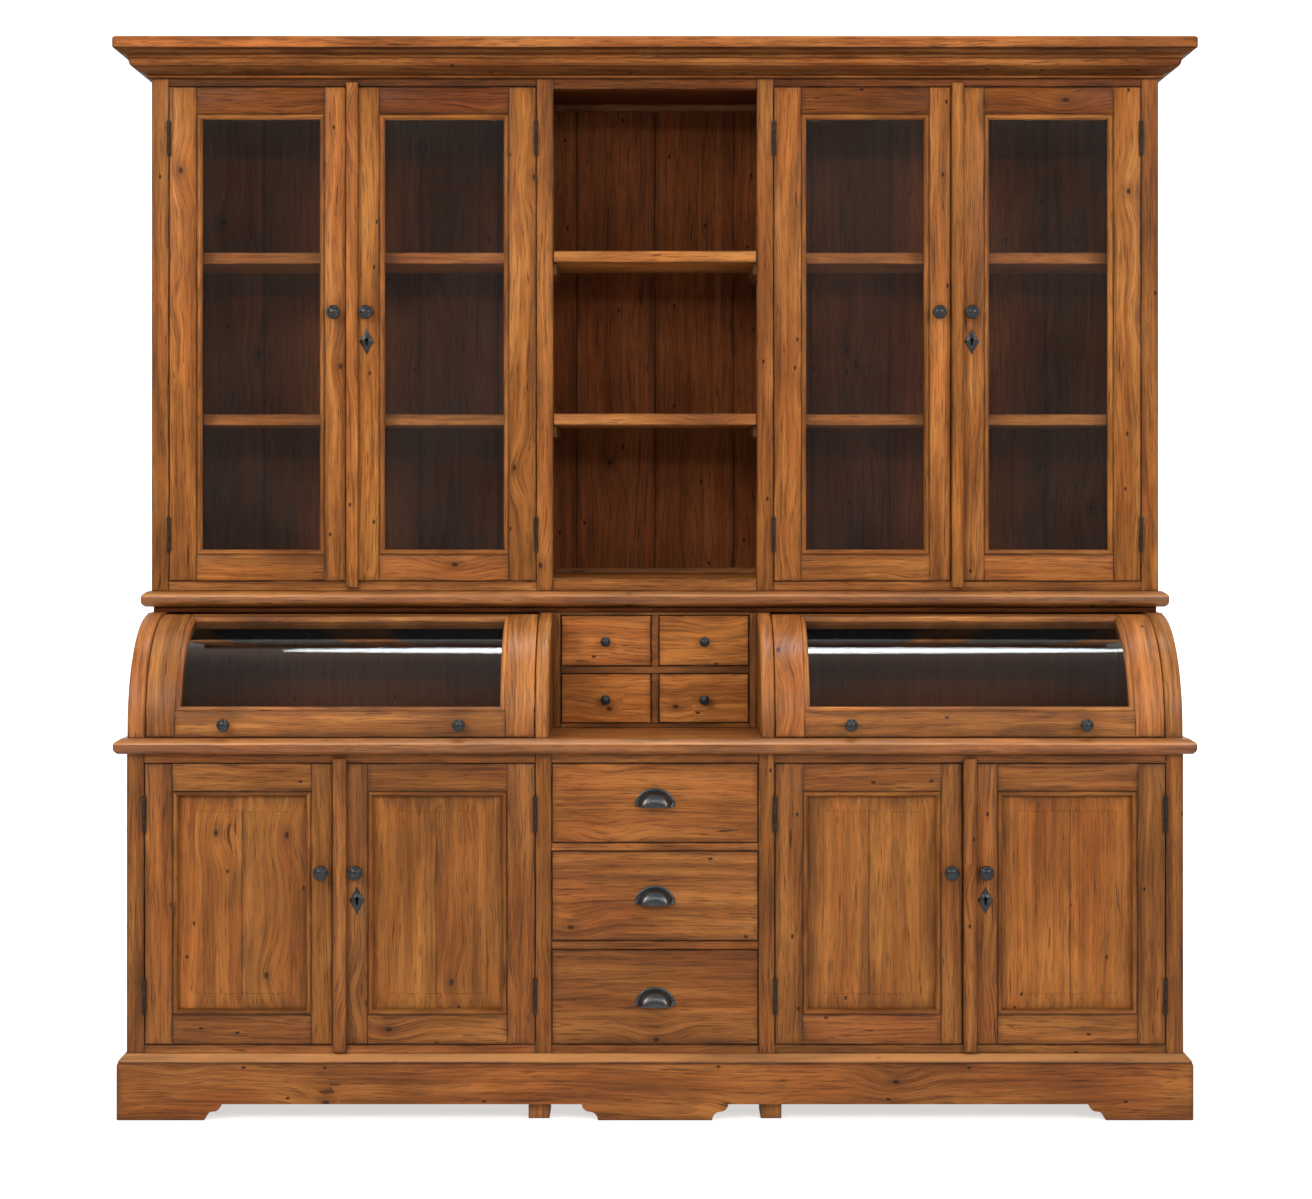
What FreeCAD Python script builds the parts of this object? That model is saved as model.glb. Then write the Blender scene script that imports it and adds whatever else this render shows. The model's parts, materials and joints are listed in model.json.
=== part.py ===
import FreeCAD, Part
import math
import os
import Sketcher

V = FreeCAD.Vector
doc = FreeCAD.newDocument("dresser")
sheet = doc.addObject("Spreadsheet::Sheet", "Params")


# A size with the sheet expression that gives it
class Q:
    def __init__(self, v, s):
        self.v = float(v)
        self.s = s

    def __add__(self, o):
        o = q(o)
        return Q(self.v + o.v, "(%s + %s)" % (self.s, o.s))

    def __radd__(self, o):
        return q(o) + self

    def __sub__(self, o):
        o = q(o)
        return Q(self.v - o.v, "(%s - %s)" % (self.s, o.s))

    def __rsub__(self, o):
        return q(o) - self

    def __mul__(self, o):
        o = q(o)
        return Q(self.v * o.v, "(%s * %s)" % (self.s, o.s))

    def __rmul__(self, o):
        return q(o) * self

    def __neg__(self):
        return Q(-self.v, "(0 - %s)" % self.s)


def q(x):
    return x if isinstance(x, Q) else Q(x, "(%.6f)" % x)


# ---------------------------------------------------------------- sizes, mm
SIZES = [
    ("half_width", 1056.5), ("back_depth", 580), ("front_shift", 276),
    ("frame_thick", 22), ("panel_thick", 20), ("back_thick", 15),
    ("plinth_proj", 17), ("plinth_top", 131), ("plinth_face", 113), ("plinth_gap", 32),
    ("base_stile_in", 1022), ("post_in", 207), ("post_out", 239),
    ("part_in", 213), ("part_out", 233),
    ("rail_low_top", 147.4), ("rail_top_low", 711), ("base_top", 730),
    ("door_low", 148.9), ("door_high", 709.4), ("door_gap", 1.5), ("door_thick", 22),
    ("stile_w", 68), ("base_stile_w", 66), ("rail_w", 66),
    ("counter_top", 761), ("counter_over", 24),
    ("cheek_in", 1021), ("cheek_low", 213), ("cheek_high", 240),
    ("arc_radius", 224), ("roll_axis", 777), ("roll_outer", 222), ("roll_inner", 200),
    ("pane_outer", 212), ("pane_inner", 208), ("roll_stile", 69),
    ("mid_top", 1001), ("deck_top", 1012.6), ("waist_top", 1045.5), ("waist_over", 20),
    ("deck_front", 262), ("hutch_front", 268), ("hutch_thick", 22),
    ("hutch_stile_in", 1021), ("hutch_post_in", 214), ("hutch_post_out", 248.5),
    ("hutch_part_in", 222), ("hutch_part_out", 240),
    ("hutch_low", 1067), ("hutch_high", 2103), ("pane_thick", 4),
    ("shelf_a", 1394), ("shelf_b", 1736), ("shelf_thick", 24), ("bay_floor", 1065.5),
    ("niche_floor", 1073), ("niche_head", 2099), ("case_top", 2124), ("total_height", 2200),
    ("cornice_low", 2108), ("bed_low", 2120), ("crown_low", 2158), ("crown_proj", 69.5),
    ("strip_base", 14), ("strip_hutch", 13), ("strip_proud", 11),
    ("pair_base", 630), ("pair_hutch", 635),
    ("hinge_long", 72), ("knuckle_rad", 3.7), ("pin_rad", 2), ("bore_rad", 2.05), ("leaf_thick", 0.6),
    ("axis_proud", 4), ("pivot_rad", 4), ("pivot_bore", 4.05),
    ("drawer_half", 205.5), ("drawer_side", 12), ("drawer_long", 520), ("front_thick", 20),
    ("small_face", 235), ("small_in", 9), ("small_out", 195), ("small_long", 500),
    ("knob_base", 14.9), ("knob_roll", 12.8), ("knob_small", 10.5),
    ("cup_half", 33), ("cup_high", 36), ("cup_out", 25), ("cup_wall", 2.5),
]
P = {}
for i, (name, value) in enumerate(SIZES, 1):
    sheet.set("A%d" % i, name)
    sheet.set("B%d" % i, str(value))
    sheet.setAlias("B%d" % i, name)
    P[name] = Q(value, "Params." + name)
doc.recompute()
g = lambda n: P[n]
counter = [0]


def uid(base):
    counter[0] += 1
    return "%s_%03d" % (base, counter[0])


def bind(obj, prop, value):
    value = q(value)
    obj.setExpression(prop, value.s)


def put(obj, x, d, z, rot=None):
    y = q(d) - g("front_shift")
    obj.Placement = FreeCAD.Placement(V(q(x).v, y.v, q(z).v), rot or FreeCAD.Rotation())
    bind(obj, "Placement.Base.x", x)
    bind(obj, "Placement.Base.y", y)
    bind(obj, "Placement.Base.z", z)
    return obj


# A board between two x, two depths behind the base front, two heights
def board(x0, x1, d0, d1, z0, z1, name="board"):
    b = doc.addObject("Part::Box", uid(name))
    for prop, lo, hi in (("Length", x0, x1), ("Width", d0, d1), ("Height", z0, z1)):
        size = q(hi) - q(lo)
        if size.v <= 0:
            raise ValueError("board %s %s %s" % (name, prop, size.v))
        setattr(b, prop, size.v)
        bind(b, prop, size)
    return put(b, x0, d0, z0)


def mirrored(x0, x1, side):
    return (q(x0), q(x1)) if side > 0 else (-q(x1), -q(x0))


def pair(x0, x1, d0, d1, z0, z1, name="board"):
    return [board(*mirrored(x0, x1, s), d0, d1, z0, z1, name) for s in (-1, 1)]


def rod(radius, length, x, d, z, axis="z", name="rod"):
    c = doc.addObject("Part::Cylinder", uid(name))
    c.Radius = q(radius).v
    c.Height = q(length).v
    bind(c, "Radius", radius)
    bind(c, "Height", length)
    rot = {"z": FreeCAD.Rotation(), "x": FreeCAD.Rotation(V(0, 1, 0), 90), "y": FreeCAD.Rotation(V(1, 0, 0), 90)}[axis]
    return put(c, x, d, z, rot)


def fuse(parts, name="fused"):
    o = doc.addObject("Part::MultiFuse", uid(name))
    o.Shapes = parts
    o.Refine = True
    return o


def cut(base, tool, name="cut"):
    o = doc.addObject("Part::Cut", uid(name))
    o.Base = base
    o.Tool = tool
    return o


def common(a, b, name="common"):
    o = doc.addObject("Part::Common", uid(name))
    o.Base = a
    o.Tool = b
    return o


# Closed outline in a body's XY plane. Each entry is (u, v), or (u, v, cu, cv, way) where an arc about
# (cu, cv) leads from the entry before to this one; way is +1 counter-clockwise, -1 clockwise.
def outline(body, pts, name):
    sk = body.newObject("Sketcher::SketchObject", uid(name))
    sk.AttachmentSupport = [(body.Origin.OriginFeatures[3], "")]
    sk.MapMode = "FlatFace"
    n = len(pts)
    for i in range(n):
        a, b = pts[i], pts[(i + 1) % n]
        pa, pb = V(q(a[0]).v, q(a[1]).v, 0), V(q(b[0]).v, q(b[1]).v, 0)
        if len(b) == 2:
            sk.addGeometry(Part.LineSegment(pa, pb))
        else:
            c = V(q(b[2]).v, q(b[3]).v, 0)
            r = (pa - c).Length
            t0 = math.atan2(pa.y - c.y, pa.x - c.x)
            t1 = math.atan2(pb.y - c.y, pb.x - c.x)
            if b[4] < 0:
                t0, t1 = t1, t0
            sk.addGeometry(Part.ArcOfCircle(Part.Circle(c, V(0, 0, 1), r), t0, t1))
    for i in range(n):
        b = pts[(i + 1) % n]
        arc = len(b) == 5
        last = (2 if b[4] > 0 else 1) if arc else 2
        nxt = pts[(i + 2) % n]
        first = (1 if nxt[4] > 0 else 2) if len(nxt) == 5 else 1
        sk.addConstraint(Sketcher.Constraint("Coincident", i, last, (i + 1) % n, first))
    for i in range(n):
        nxt = pts[(i + 1) % n]
        first = (1 if nxt[4] > 0 else 2) if len(nxt) == 5 else 1
        for kind, val in (("DistanceX", q(pts[i][0])), ("DistanceY", q(pts[i][1]))):
            k = sk.addConstraint(Sketcher.Constraint(kind, -1, 1, i, first, val.v))
            sk.setExpression("Constraints[%d]" % k, val.s)
        if len(nxt) == 5:
            cx = q(nxt[2])
            k = sk.addConstraint(Sketcher.Constraint("DistanceX", -1, 1, i, 3, cx.v))
            sk.setExpression("Constraints[%d]" % k, cx.s)
    return sk


# A padded outline. Facing "x": u is depth, v is height, pad runs to +x. Facing "y": u is x, v is height,
# pad runs to the front. Facing "z": u is x, v is depth, pad runs up.
def slab(pts, facing, at, length, name):
    body = doc.addObject("PartDesign::Body", uid(name))
    sk = outline(body, pts, name + "_outline")
    pad = body.newObject("PartDesign::Pad", uid(name + "_pad"))
    pad.Profile = sk
    pad.Length = q(length).v
    bind(pad, "Length", length)
    body.Tip = pad
    if facing == "x":
        put(body, at, 0, 0, FreeCAD.Rotation(V(1, 1, 1), 120))
    elif facing == "y":
        put(body, 0, at, 0, FreeCAD.Rotation(V(1, 0, 0), 90))
    else:
        put(body, 0, 0, at)
    return body


# A turned piece: half profile (radius, height), turned about the height axis, pointing to the front
def turned(pts, x, d, z, name, rot=None):
    body = doc.addObject("PartDesign::Body", uid(name))
    sk = outline(body, pts, name + "_outline")
    rev = body.newObject("PartDesign::Revolution", uid(name + "_turn"))
    rev.Profile = sk
    rev.ReferenceAxis = (sk, ["V_Axis"])
    rev.Angle = 360
    body.Tip = rev
    return put(body, x, d, z, rot or FreeCAD.Rotation(V(0, 0, 1), 180))


NODES = []


def node(label, parts):
    o = doc.addObject("Part::Compound", label)
    o.Links = parts
    o.Label = label
    NODES.append(o)
    return o


HW, BACK = g("half_width"), g("back_depth")
PANEL = BACK - g("back_thick")
SIDE_IN = HW - g("panel_thick")

# ---------------------------------------------------------------- plinth
PP = g("plinth_proj")
GAP = g("plinth_gap")
# bracket steps, as shares of their run and rise: the feet slope up to a ledge and round off to the straight edge,
# the centre drop is a hollow below a quarter round
FOOT = [(0.10, 0.19), (0.20, 0.36), (0.29, 0.48), (0.35, 0.52), (0.68, 0.56), (0.80, 0.63), (0.90, 0.75), (0.97, 0.88)]
DROP = [(0.5 - 0.5 * math.cos(math.radians(a)), 0.53 * math.sin(math.radians(a))) for a in (18, 36, 54, 72, 90)]
DROP += [(0.5 + 0.5 * math.sin(math.radians(a)), 1 - 0.47 * math.cos(math.radians(a))) for a in (18, 36, 54, 72)]


def step(x_low, x_top, shares):
    w = q(x_top) - q(x_low)
    return [(x_low, 0)] + [(q(x_low) + w * round(u, 4), GAP * round(v, 4)) for u, v in shares] + [(x_top, GAP)]


edge = g("half_width") + PP
foot = step(-899, -865, FOOT)
drop = step(-114, -146, DROP)
front_pts = [(-edge, 0)] + foot + drop[::-1]
front_pts += [(-q(u), v) for u, v in drop] + [(-q(u), v) for u, v in foot[::-1]]
front_pts += [(edge, 0), (edge, g("plinth_top")), (-edge, g("plinth_top"))]
face = slab(front_pts, "y", 0, PP, "plinth_front")
bevel = slab([(-PP, -1), (0, -1), (0, g("plinth_top")), (-3, g("plinth_top")), (-PP + 2, g("plinth_face") + 4),
              (-PP + 2, g("plinth_face")), (-PP, g("plinth_face") - 2)], "x", -edge - 1, 2 * edge + 2, "plinth_section")
mitre = slab([(-edge, -PP), (edge, -PP), (HW, 0), (-HW, 0)], "z", -2, 140, "plinth_mitre")
plinth = [common(common(face, bevel, "plinth_moulded"), mitre, "plinth_front_board")]
for s in (-1, 1):
    prof = [(HW, 0), (HW + PP, 0), (HW + PP, g("plinth_face") - 2), (HW + PP - 2, g("plinth_face")),
            (HW + PP - 2, g("plinth_face") + 4), (HW + 3, g("plinth_top")), (HW, g("plinth_top"))]
    prof = [(u if s > 0 else -u, v) for u, v in prof]
    run = slab(prof, "y", BACK, BACK + PP + 1, "plinth_side")
    plan = [(HW, 0), (HW + PP, -PP), (HW + PP, BACK), (HW, BACK)]
    plan = [(u if s > 0 else -u, v) for u, v in plan]
    plinth.append(common(run, slab(plan, "z", -2, 140, "plinth_side_plan"), "plinth_side_board"))
node("plinth", plinth)
feet = pair(211, 253, 1, 91, 0, g("plinth_face"), "mid_leg")
feet += pair(211, 253, 490, PANEL, 0, g("plinth_face"), "rear_leg")
feet += pair(976, SIDE_IN, 22, 92, 0, g("plinth_face"), "front_block")
feet += pair(976, SIDE_IN, 490, PANEL, 0, g("plinth_face"), "rear_block")
node("feet", feet)

# ---------------------------------------------------------------- base case
FT = g("frame_thick")
node("base_uprights", pair(SIDE_IN, HW, FT, BACK, 33, g("base_top"), "end_panel")
     + pair(g("part_in"), g("part_out"), FT, PANEL, g("plinth_top"), g("base_top"), "partition"))
node("base_floor_board", [board(-SIDE_IN, SIDE_IN, FT, PANEL, g("plinth_face"), g("plinth_top"), "floor")])
frame = pair(g("base_stile_in"), HW, 0, FT, 33, g("base_top"), "end_stile")
frame += pair(g("post_in"), g("post_out"), 0, FT, g("plinth_face"), g("base_top"), "post")
for lo, hi in ((g("plinth_face"), g("rail_low_top")), (g("rail_top_low"), g("base_top"))):
    frame += pair(g("post_out"), g("base_stile_in"), 0, FT, lo, hi, "door_rail")
    frame.append(board(-g("post_in"), g("post_in"), 0, FT, lo, hi, "drawer_end_rail"))
for lo, hi in ((338.3, 355), (535.7, 551)):
    frame.append(board(-g("post_in"), g("post_in"), 0, FT, lo, hi, "drawer_rail"))
node("base_face_frame", frame)
node("lower_back_panels", [board(-SIDE_IN, SIDE_IN, PANEL, BACK, 33, g("base_top"), "base_back"),
                           board(-HW, HW, PANEL, BACK, g("counter_top"), g("mid_top"), "mid_back")])

# ---------------------------------------------------------------- counter and waist
def nosed(over, low, high, front, rise, run_in, name):
    f = front
    prof = [(BACK, low), (f + 7, low), (f, q(low) + 7), (f, q(high) - rise), (f + run_in, high), (BACK, high)]
    run = slab(prof, "x", -HW - over, 2 * HW + 2 * over, name + "_run")
    w = HW + over
    ends = [(-w + 7, low), (w - 7, low), (w, q(low) + 7), (w, q(high) - rise), (w - run_in, high),
            (-w + run_in, high), (-w, q(high) - rise), (-w, q(low) + 7)]
    return common(run, slab(ends, "y", BACK, BACK + 60, name + "_ends"), name + "_board")


node("countertop", [nosed(g("counter_over"), g("base_top"), g("counter_top"), -g("counter_over"), 9, 14, "counter")])
node("waist_board", [nosed(g("waist_over"), g("deck_top"), g("waist_top"), g("hutch_front") - g("waist_over"), 9, 12, "waist")])
node("deck_board", [board(-HW + 5, HW - 5, g("deck_front"), BACK, g("mid_top"), g("deck_top"), "deck")])

# ---------------------------------------------------------------- roll-top end panels
R, CT, AX = g("arc_radius"), g("counter_top"), g("roll_axis")
cheek_pts = [(0, CT), (PANEL, CT), (PANEL, g("mid_top")), (R, g("mid_top")), (0, AX, R, AX, 1)]
cheeks = []
for s in (-1, 1):
    for lo, hi in ((g("cheek_in"), HW), (g("cheek_low"), g("cheek_high"))):
        x0, x1 = mirrored(lo, hi, s)
        cheeks.append(slab(cheek_pts, "x", x0, x1 - x0, "roll_end"))
node("rolltop_end_panels", cheeks)

# ---------------------------------------------------------------- small drawer case
SF = g("small_face")
case = pair(197, g("cheek_low"), SF, SF + 18, CT, g("mid_top"), "case_stile")
for lo, hi in ((CT, 770.5), (874.5, 889.5), (996.5, g("mid_top"))):
    case.append(board(-197, 197, SF, SF + 18, lo, hi, "case_rail"))
for lo, hi in ((770.5, 874.5), (889.5, 996.5)):
    case.append(board(-7.5, 7.5, SF, PANEL, lo, hi, "case_divider"))
for lo, hi in ((CT, 770.5), (874.5, 889.5)):
    case.append(board(-g("cheek_low"), g("cheek_low"), SF + 18, PANEL, lo, hi, "case_floor"))
node("small_drawer_case", case)

# ---------------------------------------------------------------- hutch
HF, HT = g("hutch_front"), g("hutch_thick")
HB = HF + HT
WT = g("waist_top")
node("hutch_uprights", pair(SIDE_IN, HW, HB, BACK, WT, 2176, "hutch_end")
     + pair(g("hutch_part_in"), g("hutch_part_out"), HB, PANEL, WT, g("cornice_low"), "hutch_partition"))
hf = pair(g("hutch_stile_in"), HW, HF, HB, WT, g("case_top"), "hutch_stile")
hf += pair(g("hutch_post_in"), g("hutch_post_out"), HF, HB, WT, g("case_top"), "hutch_post")
for lo, hi in ((WT, g("bay_floor")), (2104.5, g("case_top"))):
    hf += pair(g("hutch_post_out"), g("hutch_stile_in"), HF, HB, lo, hi, "hutch_rail")
hf.append(board(-g("hutch_post_in"), g("hutch_post_in"), HF, HB, WT, g("niche_floor"), "niche_sill"))
hf.append(board(-g("hutch_post_in"), g("hutch_post_in"), HF, HB, g("niche_head"), g("case_top"), "niche_head_rail"))
node("hutch_face_frame", hf)
planks = 12
pw = SIDE_IN * (2.0 / planks)
plank_x = [-SIDE_IN + pw * i for i in range(planks)] + [SIDE_IN]
node("hutch_back_planks", [board(plank_x[i], plank_x[i + 1], PANEL, BACK, WT, 2176, "plank") for i in range(planks)])
shelves = pair(g("hutch_part_out"), SIDE_IN, HB, PANEL, WT, g("bay_floor"), "bay_floor")
shelves.append(board(-g("hutch_part_in"), g("hutch_part_in"), HB, PANEL, WT, g("niche_floor"), "niche_floor"))
for z in (g("shelf_a"), g("shelf_b")):
    shelves += pair(g("hutch_part_out"), SIDE_IN, 315, PANEL, z, z + g("shelf_thick"), "bay_shelf")
    shelves.append(board(-g("hutch_post_in"), g("hutch_post_in"), 272, HB, z, z + g("shelf_thick"), "niche_nose"))
    shelves.append(board(-g("hutch_part_in"), g("hutch_part_in"), HB, PANEL, z, z + g("shelf_thick"), "niche_shelf"))
shelves += pair(g("part_out"), SIDE_IN, 80, PANEL, 420, 438, "cupboard_shelf")
node("shelves", shelves)
bars = []
for z in (g("shelf_a"), g("shelf_b")):
    bars += pair(207, g("hutch_part_in"), HB, PANEL - 15, z - 25, z, "niche_cleat")
    bars += pair(g("hutch_part_out"), 255, 320, PANEL - 5, z - 25, z, "bay_cleat")
    bars += pair(1021.5, SIDE_IN, 320, PANEL - 5, z - 25, z, "bay_cleat")
bars += pair(g("part_out"), 248, 85, PANEL - 5, 398, 420, "cupboard_cleat")
bars += pair(1021.5, SIDE_IN, 85, PANEL - 5, 398, 420, "cupboard_cleat")
bars.append(board(-g("hutch_part_in"), g("hutch_part_in"), PANEL - 15, PANEL, 2092, g("cornice_low"), "top_batten"))
bars.append(board(-g("hutch_part_in"), g("hutch_part_in"), PANEL - 12, PANEL, g("niche_floor"), 1087, "low_batten"))
for top in (g("rail_low_top"), q(355), q(551)):
    bars += pair(185, g("part_in"), FT, 545, top - 16, top, "drawer_runner")
node("runners_and_cleats", bars)
node("hutch_top_boards", [board(-SIDE_IN, SIDE_IN, HB, PANEL, g("cornice_low"), g("case_top"), "case_top"),
                          board(-HW, HW, HF, BACK, 2176, 2194, "dust_top")])

# ---------------------------------------------------------------- cornice
CP, TH = g("crown_proj"), g("total_height")
crown = [(0, g("crown_low")), (42, g("crown_low")), (45, 2164), (56, 2167), (61, 2172), (CP - 1, 2175), (CP, 2177),
         (CP, TH - 4), (CP - 4, TH), (0, TH)]
bed = [(0, g("bed_low")), (6, g("bed_low")), (9, 2122), (9, 2125), (7, 2127), (12, 2128.5), (20, 2132), (30, 2137), (38, 2143),
       (41, 2149), (41, g("crown_low")), (0, g("crown_low"))]
cornice = []
for prof in (crown, bed):
    reach = CP
    run = slab([(HF - q(u), v) for u, v in prof], "x", -HW - reach, 2 * HW + 2 * reach, "cornice_run")
    plan = [(-HW, HF), (HW, HF), (HW + reach, HF - reach), (-HW - reach, HF - reach)]
    cornice.append(common(run, slab(plan, "z", 2100, 110, "cornice_plan"), "cornice_front"))
    for s in (-1, 1):
        side = slab([((HW + q(u)) * s, v) for u, v in prof], "y", BACK, BACK - HF + reach, "cornice_return")
        plan = [(HW * s, HF), ((HW + reach) * s, HF - reach), ((HW + reach) * s, BACK), (HW * s, BACK)]
        cornice.append(common(side, slab(plan, "z", 2100, 110, "cornice_return_plan"), "cornice_side"))
node("cornice", cornice)

# ---------------------------------------------------------------- hinges
HL = g("hinge_long")
LEAF = g("leaf_thick")
AP = g("axis_proud")
fixed = []


# x is the case edge, way +1 when the door lies to the +x side
def hinge(x, way, face_d, z):
    mid = q(x) + g("door_gap") * (0.5 * way)
    ax_d = q(face_d) - AP
    third = HL * (1.0 / 3)
    near = q(face_d) + 0.2
    lo, hi = (q(x), q(x) + LEAF) if way > 0 else (q(x) - LEAF, q(x))
    leaf = [board(lo, hi, near, q(face_d) + 18, z, q(z) + HL, "leaf")]
    for a, b in ((q(z), q(z) + third), (q(z) + third * 2, q(z) + HL)):
        leaf.append(board(lo, hi, ax_d, near, a, b, "leaf_tab"))
        leaf.append(rod(g("knuckle_rad"), b - a, mid, ax_d, a, "z", "knuckle"))
    leaf.append(rod(g("pin_rad"), HL, mid, ax_d, z, "z", "hinge_pin"))
    fixed.append(fuse(leaf, "fixed_leaf"))
    e = q(x) + g("door_gap") * way
    lo, hi = (e - LEAF, e) if way > 0 else (e, e + LEAF)
    a, b = q(z) + third + 0.3, q(z) + third * 2 - 0.3
    move = [board(lo, hi, near, q(face_d) + 18, z, q(z) + HL, "leaf"),
            board(lo, hi, ax_d, near, a, b, "leaf_tab"),
            rod(g("knuckle_rad"), b - a, mid, ax_d, a, "z", "knuckle")]
    return cut(fuse(move, "door_leaf"), rod(g("bore_rad"), b - a + 2, mid, ax_d, a - 1, "z", "knuckle_bore"), "door_leaf")


# ---------------------------------------------------------------- knobs and plates
def knob(radius, x, d, z, out, rot=None):
    r, o = q(radius), q(out)
    pts = [(0, 0), (r * 0.78, 0), (r * 0.78, 1.5), (r * 0.5, 3), (r * 0.36, 5), (r * 0.36, o * 0.42), (r * 0.62, o * 0.55),
           (r * 0.94, o * 0.64), (r, o * 0.74), (r * 0.92, o * 0.85), (r * 0.6, o * 0.95), (r * 0.3, o * 0.99), (0, o)]
    return turned(pts, x, d, z, "knob", rot)


def escutcheon(x, d, z):
    u = [(0, 27.5), (3.6, 20.5), (15.6, 1), (15.6, -1), (3.6, -20.5), (0, -27.5), (-3.6, -20.5), (-15.6, -1), (-15.6, 1), (-3.6, 20.5)]
    plate = slab([(q(x) + a, q(z) + b) for a, b in u], "y", d, 2, "escutcheon")
    key = fuse([rod(3, 6, x, q(d) + 2, q(z) + 3, "y", "key_round"), board(q(x) - 1.4, q(x) + 1.4, q(d) - 4, q(d) + 2, q(z) - 7, q(z) + 3, "key_slot")], "keyhole")
    return cut(plate, key, "escutcheon_plate")


# ---------------------------------------------------------------- doors
DT = g("door_thick")
SP = g("strip_proud")


def door(label, x0, x1, face_d, z0, z1, stile, rail_lo, rail_hi, hinge_left, knob_x, knob_z, lock, strip, hinge_z, glazed):
    x0, x1, z0, z1 = q(x0), q(x1), q(z0), q(z1)
    F = q(face_d)
    # the lock leaf carries the cover strip on its meeting edge, which widens that stile
    sl = q(stile) + (strip[1] - strip[0] - 14 if strip else 0)
    left_w, right_w = (q(stile), q(stile)) if not strip else (sl, q(stile))
    if not strip:
        left_w, right_w = (q(stile), q(stile) - 13)
    wood = [board(x0, x0 + left_w, F, F + DT, z0, z1, "stile"), board(x1 - right_w, x1, F, F + DT, z0, z1, "stile"),
            board(x0 + left_w, x1 - right_w, F, F + DT, z0, z0 + rail_lo, "rail"),
            board(x0 + left_w, x1 - right_w, F, F + DT, z1 - rail_hi, z1, "rail")]
    if strip:
        wood.append(board(strip[0], strip[1], F - SP, F, strip[2], strip[3], "cover_strip"))
    a, b, c, e = x0 + left_w, x1 - right_w, z0 + rail_lo, z1 - rail_hi
    if glazed:
        node(label + "_frame", wood)
        node(label + "_glass", [board(a, b, F + 12, F + 12 + g("pane_thick"), c, e, "pane")])
    else:
        field = 30
        base = board(a, b, F + 12, F + 18, c, e, "panel")
        raised = board(a + field, b - field, F + 7, F + 12, c + field, e - field, "panel_field")
        wood.append(fuse([base, raised], "raised_panel"))
        node(label + "_frame", wood)
    way = 1 if hinge_left else -1
    edge_x = x0 - g("door_gap") if hinge_left else x1 + g("door_gap")
    metal = [hinge(edge_x, way, F, z) for z in hinge_z]
    metal.append(knob(g("knob_base"), knob_x, F, knob_z, 28))
    if lock:
        metal.append(escutcheon(lock[0], F, lock[1]))
        metal.append(board(q(lock[0]) - 26, q(lock[0]) + 26, F + DT, F + DT + 11, q(lock[1]) - 30, q(lock[1]) + 30, "lock_case"))
    node(label + "_hardware", metal)


DG = g("door_gap")
PB, PH = g("pair_base"), g("pair_hutch")
SB, SH = g("strip_base"), g("strip_hutch")
for side, tag in ((-1, "left"), (1, "right")):
    lo, hi = mirrored(g("post_out"), g("base_stile_in"), side)
    c = PB * side
    strip = (c - SB, c + SB, g("plinth_top") + 2, 721)
    zs = (209, 573)
    kx = (-667, -598) if side < 0 else (592, 661)
    lx = -596 if side < 0 else 661
    door("base_door_%s_a" % tag, lo + DG, c - SB - DG, 0, g("door_low"), g("door_high"), g("base_stile_w"), g("rail_w") + 3, g("rail_w"),
         True, kx[0], 493, None, None, zs, False)
    door("base_door_%s_b" % tag, c - SB, hi - DG, 0, g("door_low"), g("door_high"), g("base_stile_w"), g("rail_w") + 3, g("rail_w"),
         False, kx[1], 493, (lx, 436), strip, zs, False)
    lo, hi = mirrored(g("hutch_post_out"), g("hutch_stile_in"), side)
    c = PH * side
    strip = (c - SH, c + SH, 1052, 2113)
    zs = (1128, 1960)
    kx = (-673, -605.5) if side < 0 else (596, 664.5)
    lx = -605 if side < 0 else 665
    door("hutch_door_%s_a" % tag, lo + DG, c - SH - DG, HF, g("hutch_low"), g("hutch_high"), g("stile_w"), 65, 67,
         True, kx[0], 1630, None, None, zs, True)
    door("hutch_door_%s_b" % tag, c - SH, hi - DG, HF, g("hutch_low"), g("hutch_high"), g("stile_w"), 65, 67,
         False, kx[1], 1630, (lx, 1569), strip, zs, True)

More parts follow.
